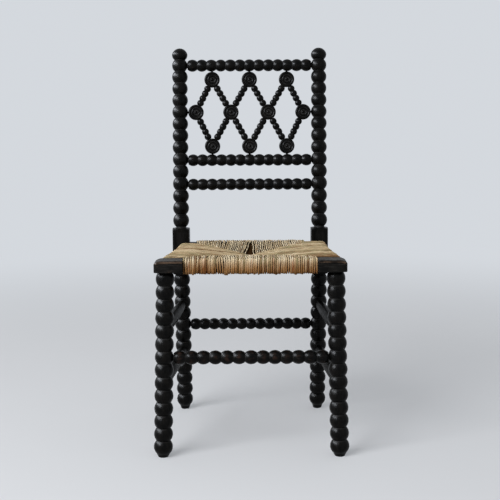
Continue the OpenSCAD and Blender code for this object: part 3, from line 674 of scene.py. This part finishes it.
def makeBlock(name, node, side, seed):
    draws = np.random.default_rng(seed)
    low, high = boxLow(node), boxHigh(node)
    middle, half = (low + high) / 2, (high - low) / 2
    turn = np.linspace(0, math.pi / 2, 9)
    plan = []
    for quarter, (signX, signY, radius) in enumerate(block["corners"]):
        start = quarter * math.pi / 2
        centre = np.array([signX * (half[0] - radius), signY * (half[1] - radius)])
        plan.append(centre + radius * np.stack([np.cos(start + turn), np.sin(start + turn)], -1))
    plan = np.concatenate([np.concatenate([arc, arc[-1:] + (plan[(i + 1) % 4][:1] - arc[-1:])
                           * np.linspace(0, 1, 10)[1:-1, None]]) for i, arc in enumerate(plan)])
    shrink = np.concatenate([np.linspace(0.02, 0.80, 10), np.linspace(0.82, 1, 14)])
    flat = plan[None] * shrink[:, None, None]

    def quarterDrop(distance, wide, deep):
        return deep * (1 - np.sqrt(np.clip(1 - np.clip(1 - distance / wide, 0, 1) ** 2, 0, 1)))

    outer = quarterDrop(half[0] - flat[..., 0], *block["outer"])
    front = quarterDrop(half[1] + flat[..., 1], *block["front"])
    back = quarterDrop(half[1] - flat[..., 1], *block["back"])
    inner = quarterDrop(half[0] + flat[..., 0], *block["back"])
    drop = outer + front + back + inner
    wave = 0.0002 * np.sin(flat[..., 0] * 190 + 1) * np.cos(flat[..., 1] * 150)
    top = np.concatenate([flat, (half[2] - drop + wave)[..., None]], -1)
    crest = np.clip(front / 0.0015, 0, 1) + 0.15 * np.clip(outer / 0.004, 0, 1)
    edgeZ = top[-1, :, 2]
    wallShare = np.concatenate([[0.04], np.linspace(0.1, 1, 7)])[:, None]
    footZ = -half[2] + block["footEdge"]
    wallZ = edgeZ + (footZ - edgeZ) * wallShare
    walls = np.concatenate([plan[None] * np.ones((8, 1, 1)), wallZ[..., None]], -1)
    under = plan[None] * np.array([0.975, 0.6, 0.02])[:, None, None]
    under = np.concatenate([under, np.full((3, len(plan), 1), -half[2])], -1)
    local = np.concatenate([top, walls, under])
    shade = np.concatenate([crest, np.full((len(walls) + len(under), len(plan)), block["wallCrest"])])
    shade[len(crest)] = block["edgeCrest"]
    points = local * np.array([side, 1, 1]) + middle
    return tubeSkin(name, points[None], woodFields(local[..., [1, 2, 0]], shade, draws), black["block"], 50)


for label, side in sides.items():
    settle(makeBlock("cornerBlock_" + label, "corner_block_" + label, side, 150 - side), "ebonised_wood",
           "corner_block_" + label)
print("corner blocks shaped")

# The front and rear seat rails, of which the rear one shows bare at its ends, and the lattice pins keep
# the frame's shapes
for name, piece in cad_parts.items():
    if name.startswith(("seat_rail", "lattice_pin")):
        for slot in piece.material_slots:
            slot.material = black["hidden"]

# Rush seat
rush = {
    "railWide": 0.026,
    "railHigh": 0.026,
    "thick": 0.0043,  # a strand's thickness over a rail
    "endFit": 0.0003,
    "dip": 0.015,  # how far the middle lies under the rush on the rails
    "belly": 0.004,  # how far the underside hangs there
    "sagPower": 1.15,  # of the way from the rail to the middle
    "wrapPower": 2 / 3,  # of the superellipse round a rail
    "ring": 10,  # points round a strand
    "topRings": 34,
    "wrapRings": 17,
    "footRings": 26,
    "twistLong": 0.050,  # length in which its fibres turn once; its ridges turn 2 / 3 as fast
    "ridges": 3,  # round a strand
    "ridgeDeep": 0.06,
    "dive": 0.0042,  # how deep a strand goes down at the seams
    "diveLong": 0.007,
    "diveBelow": 0.6,  # share of that for the lower strands
    "tipThin": 0.6,  # how thin a strand is at its very ends
}
# Each panel's strands: their number, their range on rushTones' ramp, how far neighbours share a tone,
# how far they wander, how plump they are, and how deep some hang where they turn under the rail
panels = {
    "front": {"count": 63, "tones": (0.05, 0.97), "group": 0.0,
              "wander": 0.0014, "plump": 1.06, "hang": 0.0016},
    "rear": {"count": 57, "tones": (0.22, 0.93), "group": 0.0,
             "wander": 0.0009, "plump": 0.95, "hang": 0.0},
    # the side panels' darker range is painted shade: the same rush as the front and rear, coloured darker
    "side": {"count": 62, "tones": (0.21, 0.41), "group": 0.06,
             "wander": 0.0006, "plump": 0.95, "hang": 0.0},
}
# How strands differ from one another: spreads of normal draws and sizes of slow waves
uneven = {
    "aside": 0.00022,
    "lift": 0.00020,
    "liftWave": (0.00035, 0.015, 0.05),  # size, shortest and longest wave
    "wide": 0.13,  # this and the next four are shares
    "wideWave": 0.16,
    "deep": 0.07,
    "twist": 0.15,
    "ringWave": 0.05,
    "hanging": 0.16,  # share of the strands that hang
    "hangLong": 0.009,  # how far along a strand that fades
    "narrowest": 0.26,  # of the pitch
    "widest": 0.66,
}
# edge: how strongly painted shade darkens the strands at a bundle's edges, in the troughs between bundles
bundles = {"fewest": 3, "most": 6, "high": 0.0011, "draw": 0.09, "tone": 0.09, "edge": 0.20}
panelFrontY = legY + chair["blockBack"]
panelRearY = postY - chair["postSquare"] / 2
sideSlope = (legX - postX) / (postY - legY)
sideFall = (seatZ - rearZ) / (postY - legY)
frontCornerX = legX - chair["blockIn"]
rearCornerX = frontCornerX - (panelRearY - panelFrontY) * sideSlope
seatMiddleY = (panelFrontY + panelRearY) / 2
wrapHigh = rush["railHigh"] / 2 + rush["thick"]
middleTop = seatZ - (seatMiddleY - legY) * sideFall + wrapHigh - rush["dip"]
middleFoot = seatZ - (seatMiddleY - legY) * sideFall - wrapHigh - rush["belly"]


# A smooth random field: a sum of seven waves between two lengths, so that neighbours drift together
def driftField(draws, across, along, size, shortest=0.035, longest=0.11):
    total = np.zeros(np.broadcast(across, along).shape)
    for wave in range(7):
        turn, phase = draws.random() * math.pi, draws.random() * 2 * math.pi
        rate = 2 * math.pi / (shortest + (longest - shortest) * draws.random())
        total = total + np.sin(rate * (across * math.cos(turn) + along * math.sin(turn)) + phase)
    return total * size / 2.6


# Neighbouring strands cling together in bundles: within one the lift falls by the square of the distance
# from its middle, each strand is drawn towards the middle, and its random tone gets painted shade towards its
# edges
def makeBundles(count, pitch, draws):
    sizes = draws.integers(bundles["fewest"], bundles["most"] + 1, count)
    number = np.searchsorted(np.cumsum(sizes), np.arange(count), side="right")
    first = np.concatenate([[0], np.cumsum(sizes)])[number]
    spread = np.maximum((sizes[number] - 1) / 2, 0.5)
    offset = (np.arange(count) - first) / spread - 1
    high = bundles["high"] * (0.6 + 0.8 * draws.random(count)[number])
    # random tone for each bundle, less painted shade towards the bundle's edges
    tone = bundles["tone"] * draws.normal(0, 1, count)[number] - bundles["edge"] * np.abs(offset) ** 3
    side = -offset * spread * pitch * bundles["draw"]
    return {"side": side, "lift": high * (0.5 - offset**2), "tone": tone}


# One panel of strands. Each runs from the seam over its rail, round it on a superellipse, and back below
# to the seam: u is the distance from the rail's axis towards the seat's middle, h the height over the
# axis. From the rail to the middle it sags by the end's depth times the share of the way to a power,
# and at the seam it dives by the square of the nearness
def strandPanel(name, look, axisPoints, inward, sideways, reach, cornerU, fullU, topEnd, footEnd, pitch,
                seed, loosen=None, narrow=0.0, bundle=None):
    draws = np.random.default_rng(seed)
    count, thick = len(axisPoints), rush["thick"]
    column = np.ones((count, 1))
    halfHigh, halfWide = rush["railHigh"] / 2 + thick / 2, (rush["railWide"] + thick) / 2 - narrow
    topU = reach[:, None] * np.linspace(1, 0, rush["topRings"])[None]
    beta = np.linspace(math.pi / 2, 3 * math.pi / 2, rush["wrapRings"])[1:-1]
    wrapU = -halfWide * np.abs(np.cos(beta)) ** rush["wrapPower"] * column
    wrapH = halfHigh * np.sign(np.sin(beta)) * np.abs(np.sin(beta)) ** rush["wrapPower"] * column
    footU = reach[:, None] * np.linspace(0, 1, rush["footRings"])[None]

    def sag(u, end):
        return end[:, None] * np.clip((u - cornerU) / (fullU - cornerU), 0, 1) ** rush["sagPower"]

    def diving(u):
        near = np.clip((u - reach[:, None]) / rush["diveLong"] + 1, 0, 1)
        return rush["dive"] * near**2

    def fromTop(first, last):
        turning = np.linspace(first, last, len(beta)) * column
        return np.concatenate([np.full(topU.shape, first), turning, np.full(footU.shape, last)], 1)

    def spread(size):
        return draws.normal(0, size, (count, 1))

    topH = halfHigh - sag(topU, topEnd) - diving(topU)
    footH = -halfHigh - sag(footU, footEnd) + diving(footU) * rush["diveBelow"]
    u = np.concatenate([topU, wrapU, footU], 1)
    h = np.concatenate([topH, wrapH, footH], 1)
    onTop, under = fromTop(1.0, 0.0), fromTop(0.0, 1.0)
    step = np.hypot(np.diff(u, axis=1), np.diff(h, axis=1))
    along = np.concatenate([np.zeros((count, 1)), np.cumsum(step, 1)], 1)
    place = np.arange(count)[:, None] * pitch
    drift = driftField(draws, place, along, look["wander"]) + spread(uneven["aside"])
    lift = driftField(draws, place, along, *uneven["liftWave"]) + spread(uneven["lift"])
    wide = look["plump"] + spread(uneven["wide"])
    wide = pitch / 2 * (wide + uneven["wideWave"] * driftField(draws, place * 3, along, 1))
    deep = thick / 2 * (0.97 + spread(uneven["deep"]))
    if bundle is not None:
        free = onTop * np.clip((reach[:, None] - u) / 0.03, 0, 1)
        drift = drift + bundle["side"][:, None] * free
        lift = lift + bundle["lift"][:, None] * free
    if loosen is not None:
        aside, thin = loosen(u, onTop)
        drift = drift + aside
        wide = wide * thin
    wide = np.clip(wide, pitch * uneven["narrowest"], pitch * uneven["widest"])
    turnUnder = along[:, [rush["topRings"] + len(beta) - 1]]
    hang = look["hang"] * (draws.random((count, 1)) < uneven["hanging"]) * (0.6 + draws.random((count, 1)))
    h = h + lift * np.sign(onTop - 0.5) - hang * np.exp(-((along - turnUnder) / uneven["hangLong"]) ** 2)
    path = axisPoints[:, None] + u[..., None] * inward + h[..., None] * np.array([0, 0, 1.0])
    path = path + drift[..., None] * sideways
    tangent = np.gradient(path, axis=1)
    tangent /= np.linalg.norm(tangent, axis=2, keepdims=True)
    normal = np.cross(tangent, sideways)
    normal /= np.linalg.norm(normal, axis=2, keepdims=True)
    binormal = np.cross(normal, tangent)
    angle = circleAngles(rush["ring"])[None, None]
    twist = 2 * math.pi * along / rush["twistLong"] * (1 + spread(uneven["twist"]))
    twist = (twist + draws.random((count, 1)) * 6.3)[..., None]
    ridge = np.cos(rush["ridges"] * (angle - twist / rush["ridges"] * 2))
    wave = uneven["ringWave"] * driftField(draws, place * 9, along, 1)[..., None]
    taper = np.ones(u.shape)
    taper[:, [0, -1]] = rush["tipThin"]
    ring = (1 + rush["ridgeDeep"] * ridge + wave) * taper[..., None]
    sideStep = (wide[..., None] * ring * np.cos(angle))[..., None] * binormal[:, :, None]
    upStep = (deep[..., None] * ring * np.sin(angle))[..., None] * normal[:, :, None]
    points = path[:, :, None] + sideStep + upStep
    full = np.ones(angle.shape)
    darkest, palest = look["tones"]
    tone = darkest + (palest - darkest) * draws.random((count, 1))
    tone = tone + driftField(draws, place, along, look["group"])
    if bundle is not None:
        tone = tone + bundle["tone"][:, None]
    length = along[..., None] * 30 + place[..., None] * 170 + 0 * angle
    fields = {
        "fibre": np.stack([np.cos(angle - twist) * full, np.sin(angle - twist) * full, length], -1),
        "tone": tone[..., None] * full,
        # painted shade: grows round the lower half of the wrap and stays full along the underside
        "stain": (1.25 * np.clip((under - 0.12) / 0.5, 0, 1))[..., None] * full,
        # painted shade: darker in the twist's valleys and on the sides where a strand meets its neighbours
        "groove": 0.25 * (0.5 - 0.5 * ridge) + np.abs(np.cos(angle)) ** 3,
    }
    return tubeSkin(name, points, fields, rushMaterial, 180)


# Dry rush: fibres that follow each strand's twist, a colour for each strand, painted shade in the grooves
# and between strands, and dark brown painted shade where the rush turns under the rail
rushTones = {
    "ramp": [
        (0.00, (0.17, 0.095, 0.045)), (0.09, (0.33, 0.21, 0.11)), (0.16, (0.31, 0.275, 0.15)),
        (0.27, (0.47, 0.35, 0.20)), (0.45, (0.60, 0.475, 0.30)), (0.70, (0.68, 0.57, 0.385)),
        (0.88, (0.71, 0.615, 0.445)), (0.935, (0.48, 0.255, 0.135)), (0.97, (0.36, 0.30, 0.18)),
    ],
    # dark brown painted shade, multiplied into the straw where the rush turns under the rail
    "stain": (0.50, 0.31, 0.175, 1),  # multiplies the straw
    # dark brown of the painted shade in the grooves and between strands; the fibres' fine dark streaks use it
    # too
    "groove": (0.075, 0.045, 0.022, 1),
}


def buildRushGroup(name, tones, underShadeColor):
    group, given, result = newGroup(
        name + "Fibre",
        [("Fibre", vectorKind), ("Tone", floatKind), ("Stain", floatKind), ("Groove", floatKind)],
        finishOutputs)
    fine = noise(group, stretched(group, given["Fibre"], (3.4, 3.4, 0.55)), 1.0, 3.0, 0.6)
    patch = noise(group, stretched(group, given["Fibre"], (0.5, 0.5, 0.35)), 1.0, 2.0)
    shade = math2(group, "ADD", given["Tone"], band(group, patch, 0.25, 0.75, -0.10, 0.10), True)
    ramp = addNode(group, "ShaderNodeValToRGB", None, Fac=shade)
    stops = ramp.color_ramp.elements
    for i, (at, color) in enumerate(tones):
        stop = stops[i] if i < 2 else stops.new(at)
        stop.position = at
        stop.color = (*color, 1)
    straw = blendColor(group, band(group, fine, 0.30, 0.62, 0.42, 0.0), ramp.outputs[0], rushTones["groove"])
    # painted shade in the grooves and between strands
    straw = blendColor(group, band(group, given["Groove"], 0.25, 1.1, 0.0, 0.75), straw, rushTones["groove"])
    # painted shade under the rail, patchy
    underShadeAmount = math2(group, "MULTIPLY", given["Stain"], band(group, patch, 0.2, 0.7, 0.65, 1.0), True)
    straw = blendColor(group, underShadeAmount, straw, underShadeColor, "MULTIPLY")
    link(group, straw, result["Color"])
    link(group, band(group, fine, 0.3, 0.7, 0.78, 0.58), result["Roughness"])
    link(group, plus(group, fine, given["Groove"], -0.4), result["Height"])
    return group


def buildRushMaterial(name, tones, underShadeColor, gloss):
    group = buildRushGroup(name, tones, underShadeColor)
    material, tree, shader = newMaterial(name)
    fibre = addNode(tree, "ShaderNodeGroup", {"node_tree": group}, Fibre=attribute(tree, "fibre", "Vector"),
                    Tone=attribute(tree, "tone"), Stain=attribute(tree, "stain"),
                    Groove=attribute(tree, "groove"))
    applyFinish(tree, shader, fibre, 0.6, 0.0005, gloss)
    return material


rushMaterial = buildRushMaterial("dryRush", rushTones["ramp"], rushTones["stain"], 0.03)
# the stuffing's near-black colours are painted shade inside the seat
stuffingShadeTones = [(0.0, (0.016, 0.011, 0.007)), (1.0, (0.035, 0.025, 0.016))]
stuffingShadeMaterial = buildRushMaterial("paintedShadeStuffing", stuffingShadeTones, (0.5, 0.4, 0.3, 1), 0.0)
seam = {"past": 0.0035, "jitter": 0.0012}  # strands run a little past the seam, unevenly
fan = {  # gap in the rear panel, open to the middle
    "apex": 0.0024,
    "left": 0.018,  # how far the strands on each side of it are pushed away at the middle
    "right": 0.0065,
    "fade": 0.045,
    "firstLeft": 0.77,  # share of that for the strand next to the gap
    "firstRight": 0.5,
    # small openings near the rail: their places and pushes, and how far the push fades sideways
    "slits": [(0.0951, 0.0016), (-0.0583, 0.0012), (-0.066, 0.0009)],
    "slitFade": 0.008,
    "slitAt": 0.2,  # their middle and half length, as shares of the way to the seat's middle
    "slitLong": 0.16,
    "thin": 0.12,  # share by which every strand is thinner
    "thinMiddle": 0.44,  # and by which those in the middle are thinner still
    "thinWide": 0.07,
}


# Loosened rear strands: pushed aside by left or right / e^(distance / fade), growing from the rail to
# the middle, and thinned
def rearLoosen(x0, reachAll):
    distance = x0 - fan["apex"]
    push = np.where(distance < 0, -fan["left"], fan["right"]) * np.exp(-np.abs(distance) / fan["fade"])
    push = push * np.where(x0 == x0[distance < 0].max(), fan["firstLeft"], 1)
    push = push * np.where(x0 == x0[distance > 0].min(), fan["firstRight"], 1)
    near = np.exp(-(np.abs(x0[:, None]) / fan["thinWide"]) ** 2)

    def rule(u, onTop):
        opened = np.clip(u / reachAll, 0, 1)
        aside = push[:, None] * opened
        lengthwise = ((opened - fan["slitAt"]) / fan["slitLong"]) ** 2
        for spot, slit in fan["slits"]:
            away = (x0 - spot)[:, None]
            aside = aside + np.sign(away) * slit * np.exp(-np.abs(away) / fan["slitFade"] - lengthwise)
        return aside * onTop, 1 - (fan["thinMiddle"] * near * opened + fan["thin"]) * onTop
    return rule


def makeEndPanel(label, half, axisY, axisZ, direction, seed, loose=False):
    draws = np.random.default_rng(seed + 5)
    count = panels[label]["count"]
    pitch = 2 * (half - rush["endFit"]) / count
    x = (np.arange(count) - (count - 1) / 2) * pitch
    axisPoints = np.stack([x, np.full(count, axisY), np.full(count, axisZ)], -1)
    cornerU = abs((panelFrontY if direction > 0 else panelRearY) - axisY)
    reachAll = abs(seatMiddleY - axisY)
    share = 1 - np.abs(x) / half
    reach = cornerU + (reachAll - cornerU) * share + seam["past"] * share**0.5
    reach = reach + draws.normal(0, seam["jitter"], count)
    topEnd = np.full(count, axisZ + wrapHigh - middleTop)
    footEnd = np.full(count, axisZ - wrapHigh - middleFoot)
    loosen = rearLoosen(x, reachAll) if loose else None
    inward, sideways = np.array([0, direction, 0.0]), np.array([1.0, 0, 0])
    piece = strandPanel("rushStrands_" + label, panels[label], axisPoints, inward, sideways, reach,
                        cornerU, reachAll, topEnd, footEnd, pitch, seed, loosen)
    settle(piece, "rush", "rush_" + label)


# The side rails, with share growing from 0 at the front to 1 at the rear: pulled inwards by the front's
# amount plus the rest times share^0.8, down by share^2, bowed inwards by sin(pi share)^1.5, and
# narrowed by share
pulls = {
    "left": {"inFront": 0.005, "inRear": 0.0145, "downRear": 0.0040, "narrowRear": 0.0025, "bow": 0.0042},
    "right": {"inFront": 0.0005, "inRear": 0.0025, "downRear": 0.0014, "narrowRear": 0.0, "bow": 0.0050},
}


def sideRailAxis(label, y):
    pull = pulls[label]
    share = np.clip((y - panelFrontY) / (panelRearY - panelFrontY), 0, 1)
    narrow = pull["narrowRear"] * share
    x = legX - (y - legY) * sideSlope - pull["inFront"]
    x = x - (pull["inRear"] - pull["inFront"]) * share**0.8 + narrow
    x = x - pull["bow"] * np.sin(math.pi * share) ** 1.5
    z = seatZ - (y - legY) * sideFall - pull["downRear"] * share**2
    return x, z, narrow


sideRail = {"tenonLong": 0.012, "tenonD": 0.014, "steps": 14, "around": 32, "power": 5, "crest": 0.4}


# The rail itself: a softened square with a round tenon at each end
def makeSideRail(label, side):
    tenonLong, tenonR = sideRail["tenonLong"], sideRail["tenonD"] / 2
    y = np.linspace(panelFrontY, panelRearY, sideRail["steps"])
    y = np.concatenate([[y[0] - tenonLong, y[0]], y, [y[-1], y[-1] + tenonLong]])
    x, z, narrow = sideRailAxis(label, y)
    angle = circleAngles(sideRail["around"])
    soft = 1 / squareShare(angle, sideRail["power"])
    body = np.ones(len(y))
    body[[0, 1, -2, -1]] = 0
    halfX = np.where(body > 0, rush["railWide"] / 2 - narrow, tenonR)[:, None]
    halfZ = np.where(body > 0, rush["railHigh"] / 2, tenonR)[:, None]
    shape = np.where(body[:, None] > 0, soft[None], 1)
    across, high = halfX * shape * np.cos(angle), halfZ * shape * np.sin(angle)
    length = y[:, None] + 0 * across
    points = np.stack([side * (x[:, None] + across), length, z[:, None] + high], -1)
    fields = {"lathe": np.stack([across, high, length], -1)[None],
              "crest": np.full((1, *across.shape), sideRail["crest"])}
    piece = tubeSkin("sideRail_" + label, points[None], fields, black["rod"])
    settle(piece, "ebonised_wood", "seat_rail_" + label)


def makeSidePanel(label, side, seed):
    draws = np.random.default_rng(seed + 5)
    count = panels["side"]["count"]
    low, high = panelFrontY + rush["endFit"], panelRearY - rush["endFit"]
    pitch = (high - low) / count
    y = low + (np.arange(count) + 0.5) * pitch
    axisX, axisZ, narrow = sideRailAxis(label, y)
    axisPoints = np.stack([side * axisX, y, axisZ], -1)
    share = np.where(y < seatMiddleY, (y - panelFrontY) / (seatMiddleY - panelFrontY),
                     (panelRearY - y) / (panelRearY - seatMiddleY))
    cornerX = np.interp(y, [panelFrontY, panelRearY], [frontCornerX, rearCornerX])
    reach = axisX - cornerX * (1 - share) + seam["past"] * share**0.5
    reach = reach + draws.normal(0, seam["jitter"], count)
    sideways = np.array([-side * sideSlope, 1, -sideFall])
    sideways /= np.linalg.norm(sideways)
    topEnd, footEnd = axisZ + wrapHigh - middleTop, axisZ - wrapHigh - middleFoot
    piece = strandPanel("rushStrands_" + label, panels["side"], axisPoints, np.array([-side, 0.0, 0]),
                        sideways, reach, (axisX - cornerX)[:, None], axisX[:, None], topEnd, footEnd,
                        pitch, seed, None, narrow[:, None], makeBundles(count, pitch, draws))
    settle(piece, "rush", "rush_" + label)


makeEndPanel("front", frontCornerX, legY, seatZ, 1, 201)
makeEndPanel("rear", rearCornerX, postY, rearZ, -1, 202, True)
for label, side in sides.items():
    makeSideRail(label, side)
    makeSidePanel(label, side, 203 + (side > 0))


# Stuffing between the upper and lower strands, coloured near black as painted shade inside the seat: it sags
# to the middle as they do
def makeStuffing():
    corners = np.array([[-frontCornerX, panelFrontY], [frontCornerX, panelFrontY],
                        [rearCornerX, panelRearY], [-rearCornerX, panelRearY]])
    step = np.linspace(0, 1, 13)[:-1, None]
    outline = np.concatenate([a + (b - a) * step for a, b in zip(corners, np.roll(corners, -1, 0))])
    middle = np.array([0, seatMiddleY])
    share = np.linspace(0.02, 1, 14)[:, None, None]
    plan = middle + (outline - middle) * share
    inner = (1 - share[..., 0]) ** rush["sagPower"]
    railZ = seatZ - (plan[..., 1] - legY) * sideFall
    hide = rush["thick"] * 1.25
    topZ = railZ + wrapHigh - hide - (railZ + wrapHigh - middleTop) * inner
    footZ = railZ - wrapHigh + hide + (middleFoot - railZ + wrapHigh) * inner
    top = np.concatenate([plan, topZ[..., None]], -1)
    foot = np.concatenate([plan, footZ[..., None]], -1)[::-1]
    points = np.concatenate([top, foot])[None]
    flat = np.zeros(points.shape[:3])
    # painted shade over the whole stuffing: the full under-rail tint and groove shade
    fields = {"fibre": points * 40, "tone": flat, "stain": flat + 1, "groove": flat + 2}
    settle(tubeSkin("rushStuffing", points, fields, stuffingShadeMaterial, 180), "rush")


makeStuffing()
print("rush strands wound")

# Studio
stage = {
    "floorColor": (0.43, 0.435, 0.445, 1),
    "floorGlow": 0.35,  # shown to camera, glossy and transmission rays only
    "evenFrom": 0.9,  # metres from the chair where the floor starts to turn into plain backdrop colour
    "evenTo": 3.2,
    "backdrop": (0.66, 0.69, 0.73, 1),
    "fill": 0.45,
    "fillColor": (0.97, 0.98, 1.0, 1),
}
# The first window lights colour and gives no gloss, the second shows in gloss and lights no colour
lamps = {
    "keyWindow": {"at": (-2.35, -2.75, 2.7), "aim": (0, 0, 0.5), "wide": 2.6, "high": 2.2,
                  "power": 190.0, "color": (0.985, 0.99, 1.0), "without": "visible_glossy"},
    "glintWindow": {"at": (-2.3, -0.45, 1.95), "aim": (0, 0, 0.5), "wide": 4.0, "high": 1.05,
                    "power": 520.0, "color": (0.89, 0.93, 1.0), "without": "visible_diffuse"},
    "sideFill": {"at": (2.4, -1.8, 1.2), "aim": (0, 0, 0.45), "wide": 1.6, "high": 1.6,
                 "power": 3.0, "color": (0.95, 0.97, 1.0), "without": None},
}


def shownRays(tree):
    rays = tree.nodes.new("ShaderNodeLightPath").outputs
    direct = math2(tree, "ADD", rays["Is Camera Ray"], rays["Is Transmission Ray"])
    return math2(tree, "ADD", direct, rays["Is Glossy Ray"], True)


def makeFloor():
    radius = np.array([0.001, 0.5, 1, 2, 4, 8, 16, 30])
    disc = spin(radius[:, None], circleAngles(96), 0 * radius)
    under = disc - np.array([0, 0, 0.02])
    material, tree, shader = newMaterial("palePaper")
    place = addNode(tree, "ShaderNodeTexCoord").outputs["Object"]
    speckle = noise(tree, place, 3.0, 2.0)
    pale = tuple(0.97 * c for c in stage["floorColor"][:3]) + (1,)
    away = addNode(tree, "ShaderNodeVectorMath", {"operation": "LENGTH"}, i0=place).outputs["Value"]
    away = band(tree, away, stage["evenFrom"], stage["evenTo"])
    paper = blendColor(tree, speckle, stage["floorColor"], pale)
    link(tree, blendColor(tree, away, paper, (0, 0, 0, 1)), shader["Base Color"])
    shader["Roughness"].default_value = 0.9
    shader["Specular IOR Level"].default_value = 0
    shader["Emission Color"].default_value = stage["backdrop"]
    glow = addNode(tree, "ShaderNodeMapRange", None, i0=away, i3=stage["floorGlow"], i4=1.0).outputs[0]
    glow = math2(tree, "MULTIPLY", shownRays(tree), glow)
    link(tree, glow, shader["Emission Strength"])
    floor = tubeSkin("studioFloor", np.concatenate([under, disc[::-1]])[None], {}, material)


# Turns the lamp's own -Z to the place it is aimed at
def makeLamp(name, lamp):
    light = bpy.data.lights.new(name, "AREA")
    light.shape, light.size, light.size_y = "RECTANGLE", lamp["wide"], lamp["high"]
    light.energy, light.color = lamp["power"], lamp["color"]
    made = bpy.data.objects.new(name, light)
    back = np.array(lamp["at"]) - np.array(lamp["aim"])
    back = back / np.linalg.norm(back)
    right = np.cross([0, 0, 1.0], back)
    right /= np.linalg.norm(right)
    turn = np.stack([right, np.cross(back, right), back], 1)
    made.matrix_world = Matrix.Translation(lamp["at"]) @ Matrix(turn.tolist()).to_4x4()
    bpy.context.scene.collection.objects.link(made)
    if lamp["without"]:
        setattr(made, lamp["without"], False)


def makeWorld():
    world = bpy.data.worlds.new("softStudio")
    world.use_nodes = True
    tree = world.node_tree
    shown, lit = tree.nodes["Background"], tree.nodes.new("ShaderNodeBackground")
    shown.inputs["Color"].default_value = stage["backdrop"]
    lit.inputs["Color"].default_value = stage["fillColor"]
    lit.inputs["Strength"].default_value = stage["fill"]
    mix = tree.nodes.new("ShaderNodeMixShader")
    link(tree, shownRays(tree), mix.inputs[0])
    link(tree, lit.outputs[0], mix.inputs[1])
    link(tree, shown.outputs[0], mix.inputs[2])
    link(tree, mix.outputs[0], tree.nodes["World Output"].inputs["Surface"])
    bpy.context.scene.world = world


makeFloor()
makeWorld()
for name, lamp in lamps.items():
    makeLamp(name, lamp)

# Camera at the photograph's place: 2.34 m in front of the front legs, 0.76 m high, tilted down
view = {"focalPixels": 1123.6, "imagePixels": 500, "at": (-0.0008, -2.5235, 0.7557),
        "down": 7.545, "roll": 0.35}
cameraData = bpy.data.cameras.new("photoCamera")
cameraData.sensor_width = 36
cameraData.lens = 36 * view["focalPixels"] / view["imagePixels"]
cameraData.clip_end = 100
camera = bpy.data.objects.new("photoCamera", cameraData)
bpy.context.scene.collection.objects.link(camera)
tilt = Matrix.Rotation(math.radians(90 - view["down"]), 4, "X")
roll = Matrix.Rotation(math.radians(-view["roll"]), 4, "Z")
camera.matrix_world = Matrix.Translation(view["at"]) @ (tilt @ roll)
bpy.context.scene.camera = camera
bpy.context.scene.view_settings.view_transform = "Standard"
print("studio ready")
